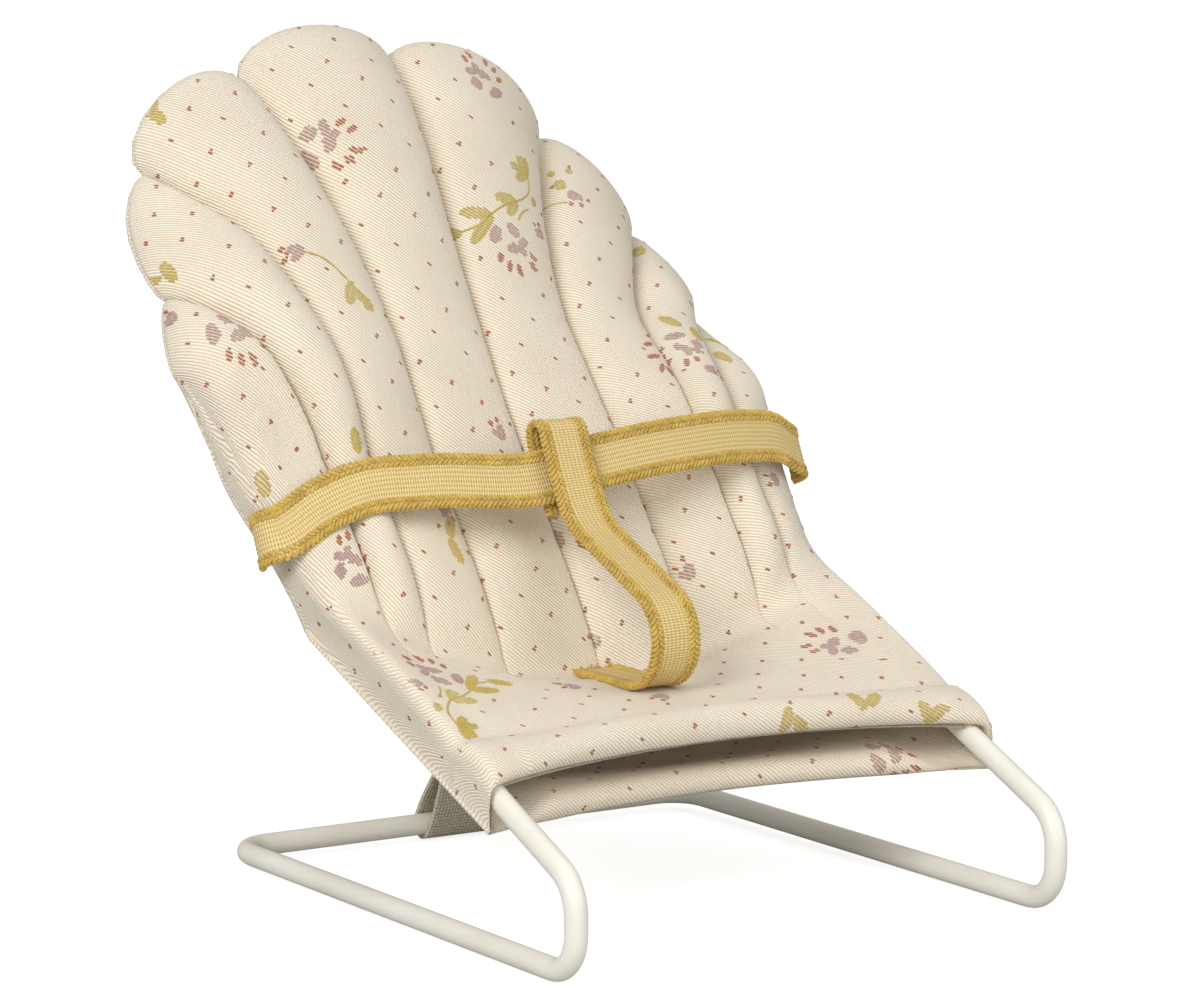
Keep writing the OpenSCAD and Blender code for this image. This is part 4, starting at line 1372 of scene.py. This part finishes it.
def big_sprig(m, x, y, turn=0.0, mirror=1):
    at = spot(x, y, turn, 1.0, mirror)
    flower(m, at)
    for a, b, w in SPRIG_LEAVES:
        m.put("olive", at, a, b, w)
    corner = at((8.7, 15.3))
    tulip(m, spot(corner[0], corner[1], turn, 1.0, mirror))
    m.line("olive", at, SPRIG_STEM)
    m.put("olive", at, (8.6, 9.3), (9.4, 11.3), 1.5)
    m.line("olive", at, [(3.4, 5.3), (4.6, 6.9), (6.8, 8.2)])
    end = at((8.4, 3.0))
    bud(m, spot(end[0], end[1], turn, 0.8, mirror))


DOT_STEP = (4.75, 8.3)


def dots(m, keep_clear, lo, hi):
    """Small rust rhombs on a half-drop lattice, each two or three short rib stitches."""
    turn = 8.0
    for i in range(-26, 27):
        for j in range(-14, 15):
            px, py = i * DOT_STEP[0], (j + 0.5 * (i % 2)) * DOT_STEP[1] + 60
            x = px * cosd(turn) - py * sind(turn) + 8
            y = px * sind(turn) + py * cosd(turn)
            x += 0.35 * math.sin(i * 2.3 + j * 4.1)
            y += 0.35 * math.sin(i * 3.7 - j * 1.9)
            if not (lo[0] < x < hi[0] and lo[1] < y < hi[1]):
                continue
            if any((x - a) ** 2 + (y - b) ** 2 < r * r for a, b, r in keep_clear):
                continue
            m.put("rust", spot(x, y), (-0.4, -0.1), (0.4, 0.1), 0.85)


# where each motif sits on the panel, in flat millimetres, with its turn
FLOWERS = [
    (-25.9, 133.4, 70, 1), (-74.2, 88.6, 20, 1), (52.6, 92.6, 285, 1), (18.6, 150.8, 150, 1),
    (36.8, 27.5, 200, 1), (-52.6, 52.4, 150, 1), (3.9, 65.5, 60, 1),
]
SPRIGS = [
    (12.9, 117.0, 0, 1), (-39.4, 29.5, 195, 1),
]
LEAVES = [
    (-59.0, 138.2, 20), (-61.0, 140.4, -35), (-74.4, 106.0, 10), (-76.2, 107.8, 60),
    (-36.4, 106.2, 160), (-36.0, 104.9, 215), (-49.4, 77.6, 190), (-26.2, 66.4, 160),
    (-28.0, 62.0, 200), (23.9, 3.0, 10), (24.6, 3.4, -50), (13.7, 0.0, 30), (9.2, 1.2, -20),
    (35.0, -1.5, 15), (34.0, -1.0, -60), (57.2, 97.6, 20), (58.0, 93.2, -20), (75.4, 99.6, 30),
    (73.6, 95.6, 200), (69.8, 89.6, 170), (57.6, 90.4, 200), (-80.0, 118.0, 20), (62.0, 120.0, -30),
    (-70.0, 62.0, 30),
]
BUDS = [
    (-43.6, 111.6, 80), (-27.9, 68.6, 200), (-7.0, 81.0, 10), (40.6, 130.6, 160), (1.3, 45.4, 40),
    (-1.6, 21.6, 120), (52.0, 85.4, 230), (-80.8, 95.6, 0), (-12.0, 30.0, 70), (24.0, 52.0, 10),
    (58.0, 60.0, 60), (-70.0, 40.0, 200),
]
# rays of the flower at the right edge that fall on the next channel
LOOSE_RAYS = [
    ((39.0, 95.4), (41.6, 96.2)), ((37.6, 92.2), (41.0, 92.8)),
    ((38.4, 88.6), (40.2, 90.6)), ((41.2, 87.8), (40.6, 90.2)),
]
# room that a sprig keeps free of dots: places in its own millimetres, and their reach
SPRIG_CLEAR = [((0, 0), 6.5), ((-6, 4), 5.0), ((-11, 3), 3.6), ((2, 8.5), 4.0), ((6.5, 16), 4.5), ((8, 5), 3.5)]


def weave_panel():
    m = Motifs(Cloth(panel))
    for x, y, turn, hand in FLOWERS:
        flower(m, spot(x, y, turn, 1.0, hand))
    for x, y, turn, hand in SPRIGS:
        big_sprig(m, x, y, turn, hand)
    for x, y, turn in LEAVES:
        leaf(m, spot(x, y, turn))
    for x, y, turn in BUDS:
        bud(m, spot(x, y, turn))
    m.line("olive", spot(0, 0), [(-43.6, 111.6), (-41.4, 110.6), (-38.8, 108.4), (-36.4, 105.4)])
    m.line("olive", spot(0, 0), [(27.5, 129.2), (31.0, 128.6), (35.0, 128.0), (38.4, 127.6)])
    m.put("olive", spot(38.5, 132.0), (-0.4, -1.2), (0.6, 1.2), 2.0)
    m.put("olive", spot(38.3, 135.0), (-0.6, -0.5), (0.4, 0.7), 1.3)
    m.put("olive", spot(41.5, 135.6), (-0.6, -0.5), (0.6, 0.5), 1.4)
    for a, b in LOOSE_RAYS:
        m.put("rust", spot(0, 0), a, b, RAY_W)
    clear = [(x, y, 6.0) for x, y, _, _ in FLOWERS]
    clear += [(x, y, 2.2) for x, y, _ in LEAVES]
    clear += [(x, y + 1.5, 2.6) for x, y, _ in BUDS]
    for x, y, turn, hand in SPRIGS:
        at = spot(x, y, turn, 1.0, hand)
        for c, r in SPRIG_CLEAR:
            clear.append((*at(c), r))
    lo, hi = flat_skin.reshape(-1, 2).min(0), flat_skin.reshape(-1, 2).max(0)
    dots(m, clear, lo, hi)
    return m


THREADS = {"rust": rust_thread, "mauve": mauve_thread, "olive": olive_thread}
woven = weave_panel()
for colour, thread in THREADS.items():
    v, f = woven.build(colour, 0.19, 0.075)
    piece = make(f"woven_{colour}", v, f, thread)
    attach(piece, "seat")

below = Motifs(Cloth(backing))
flower(below, spot(31.0, 3.4, 60, 0.85))
dots(below, [(31.0, 3.4, 5.5)], (-42, 0.6), (42, 30))
for colour in ("rust", "mauve"):
    v, f = below.build(colour, 0.19, 0.075)
    piece = make(f"lining_{colour}", v, f, THREADS[colour])
    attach(piece, "seat")

# ---------------------------------------------------------------- hem stitching


def hem_stitches():
    parts = []
    for d in (4.0, 5.6):
        xs = np.arange(-43, 43, 1.5)
        wav = 0.35 * np.sin(xs * 1.9)
        a = seat_pt(xs, (d + wav) / SEAT_REACH, -0.12 + 0 * xs)
        b = seat_pt(xs + 1.7, (d - wav * 0.6 + 0.35) / SEAT_REACH, -0.12 + 0 * xs)
        parts.append(capsules(a, b, (0, 0, -1), np.full(len(xs), 0.22), np.full(len(xs), 0.18)))
    return merged(*parts)


v, f = hem_stitches()
stitches = make("hem_stitches", v, f, cream_thread)
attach(stitches, "seat")
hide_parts("hem_stitching")

QUILT_STITCH = 2.4
QUILT_GAP = 0.7


def quilt_stitches():
    """Short threads sunk along the seams between the channels of the back."""
    parts = []
    for u in range(-3, 4):
        column = int(np.argmin(np.abs(U - u)))
        line = top[seat_n:, column]
        across = unit(top[seat_n:, column + 1] - top[seat_n:, column - 1])
        along = unit(np.gradient(line, axis=0))
        lift = unit(np.cross(across, along))
        dist = np.append(0, np.linalg.norm(np.diff(line, axis=0), axis=-1).cumsum())
        start = np.arange(1.0, dist[-1] - 5.0, QUILT_STITCH + QUILT_GAP)
        path = (line + lift * 0.12).T
        a, b = (np.stack([np.interp(d, dist, c) for c in path], -1) for d in (start, start + QUILT_STITCH))
        up = np.mean(lift, axis=0)
        parts.append(capsules(a, b, tuple(up), np.full(len(start), 0.2), np.full(len(start), 0.14)))
    return merged(*parts)


v, f = quilt_stitches()
quilting = make("quilting_stitches", v, f, cream_thread)
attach(quilting, "seat")

# ---------------------------------------------------------------- stage, light, camera


def stage_material():
    s = Shader("studio_white", roughness=1.0, specular=0.0)
    where = s.node("TexCoord").outputs["Object"]
    colour = s.mix(s.span(s.noise(where, 3.0, 1.0), 0.3, 0.7), (0.5, 0.5, 0.49, 1), (0.53, 0.53, 0.52, 1))
    s.finish(colour)
    glow = s.node("Emission", [(1, 1, 1, 1), 0.8]).outputs[0]
    lit = s.node("AddShader", [s.bsdf.outputs[0], glow]).outputs[0]
    seen = s.node("LightPath").outputs["Is Camera Ray"]
    both = s.node("MixShader", [seen, s.bsdf.outputs[0], lit]).outputs[0]
    s.put(both, s.tree.nodes["Material Output"].inputs["Surface"])
    return s.material


def backdrop():
    """Seamless pale floor that curves up behind the object."""
    xs = np.linspace(-3, 3, 13)
    prof = [(-3, 0), (0.6, 0), (0.9, 0.05), (1.15, 0.25), (1.25, 0.6), (1.25, 3)]
    verts = [(x, y, z) for y, z in prof for x in xs]
    mesh = bpy.data.meshes.new("backdrop")
    mesh.from_pydata(verts, [], [tuple(int(i) for i in q) for q in grid_faces(len(prof), len(xs))])
    obj = bpy.data.objects.new("backdrop", mesh)
    bpy.context.scene.collection.objects.link(obj)
    mesh.materials.append(stage_material())
    mesh.polygons.foreach_set("use_smooth", [True] * len(mesh.polygons))
    obj.rotation_euler = (0, 0, math.radians(-33.28))
    obj.location = (0, 0, -0.0002)
    return obj


backdrop()

scene = bpy.context.scene
scene.world = bpy.data.worlds.new("studio")
scene.world.use_nodes = True
scene.world.node_tree.nodes["Background"].inputs["Color"].default_value = (1, 1, 1, 1)
scene.world.node_tree.nodes["Background"].inputs["Strength"].default_value = 0.42
scene.view_settings.view_transform = "Standard"


def area_light(name, azimuth, elevation, distance, size, power, colour=(1, 1, 1)):
    data = bpy.data.lights.new(name, "AREA")
    data.shape, data.size, data.energy, data.color = "DISK", size, power, colour
    obj = bpy.data.objects.new(name, data)
    scene.collection.objects.link(obj)
    a, e = math.radians(azimuth), math.radians(elevation)
    back = Vector((math.sin(a) * math.cos(e), -math.cos(a) * math.cos(e), math.sin(e)))
    obj.location = Vector((0, 0, 0.06)) + back * distance
    obj.rotation_mode = "QUATERNION"
    obj.rotation_quaternion = back.to_track_quat("Z", "Y")
    return obj


area_light("key", -62, 32, 1.0, 0.55, 5.3, (1, 0.99, 0.98))
area_light("fill", 24, 26, 1.2, 0.9, 3.8)
area_light("low", -28, 4, 0.9, 0.5, 1.3, (1, 0.96, 0.9))
area_light("top", 150, 65, 1.1, 0.8, 1.2)

lens = bpy.data.cameras.new("camera")
lens.lens, lens.sensor_width = 135, 36
lens.clip_start, lens.clip_end = 0.01, 20
camera = bpy.data.objects.new("camera", lens)
scene.collection.objects.link(camera)
camera.location = world([-382.5, -529.3, 152.5])
camera.rotation_mode = "QUATERNION"
back = Vector((-0.5439, -0.8288, 0.1313))
camera.rotation_quaternion = back.to_track_quat("Z", "Y")
scene.camera = camera
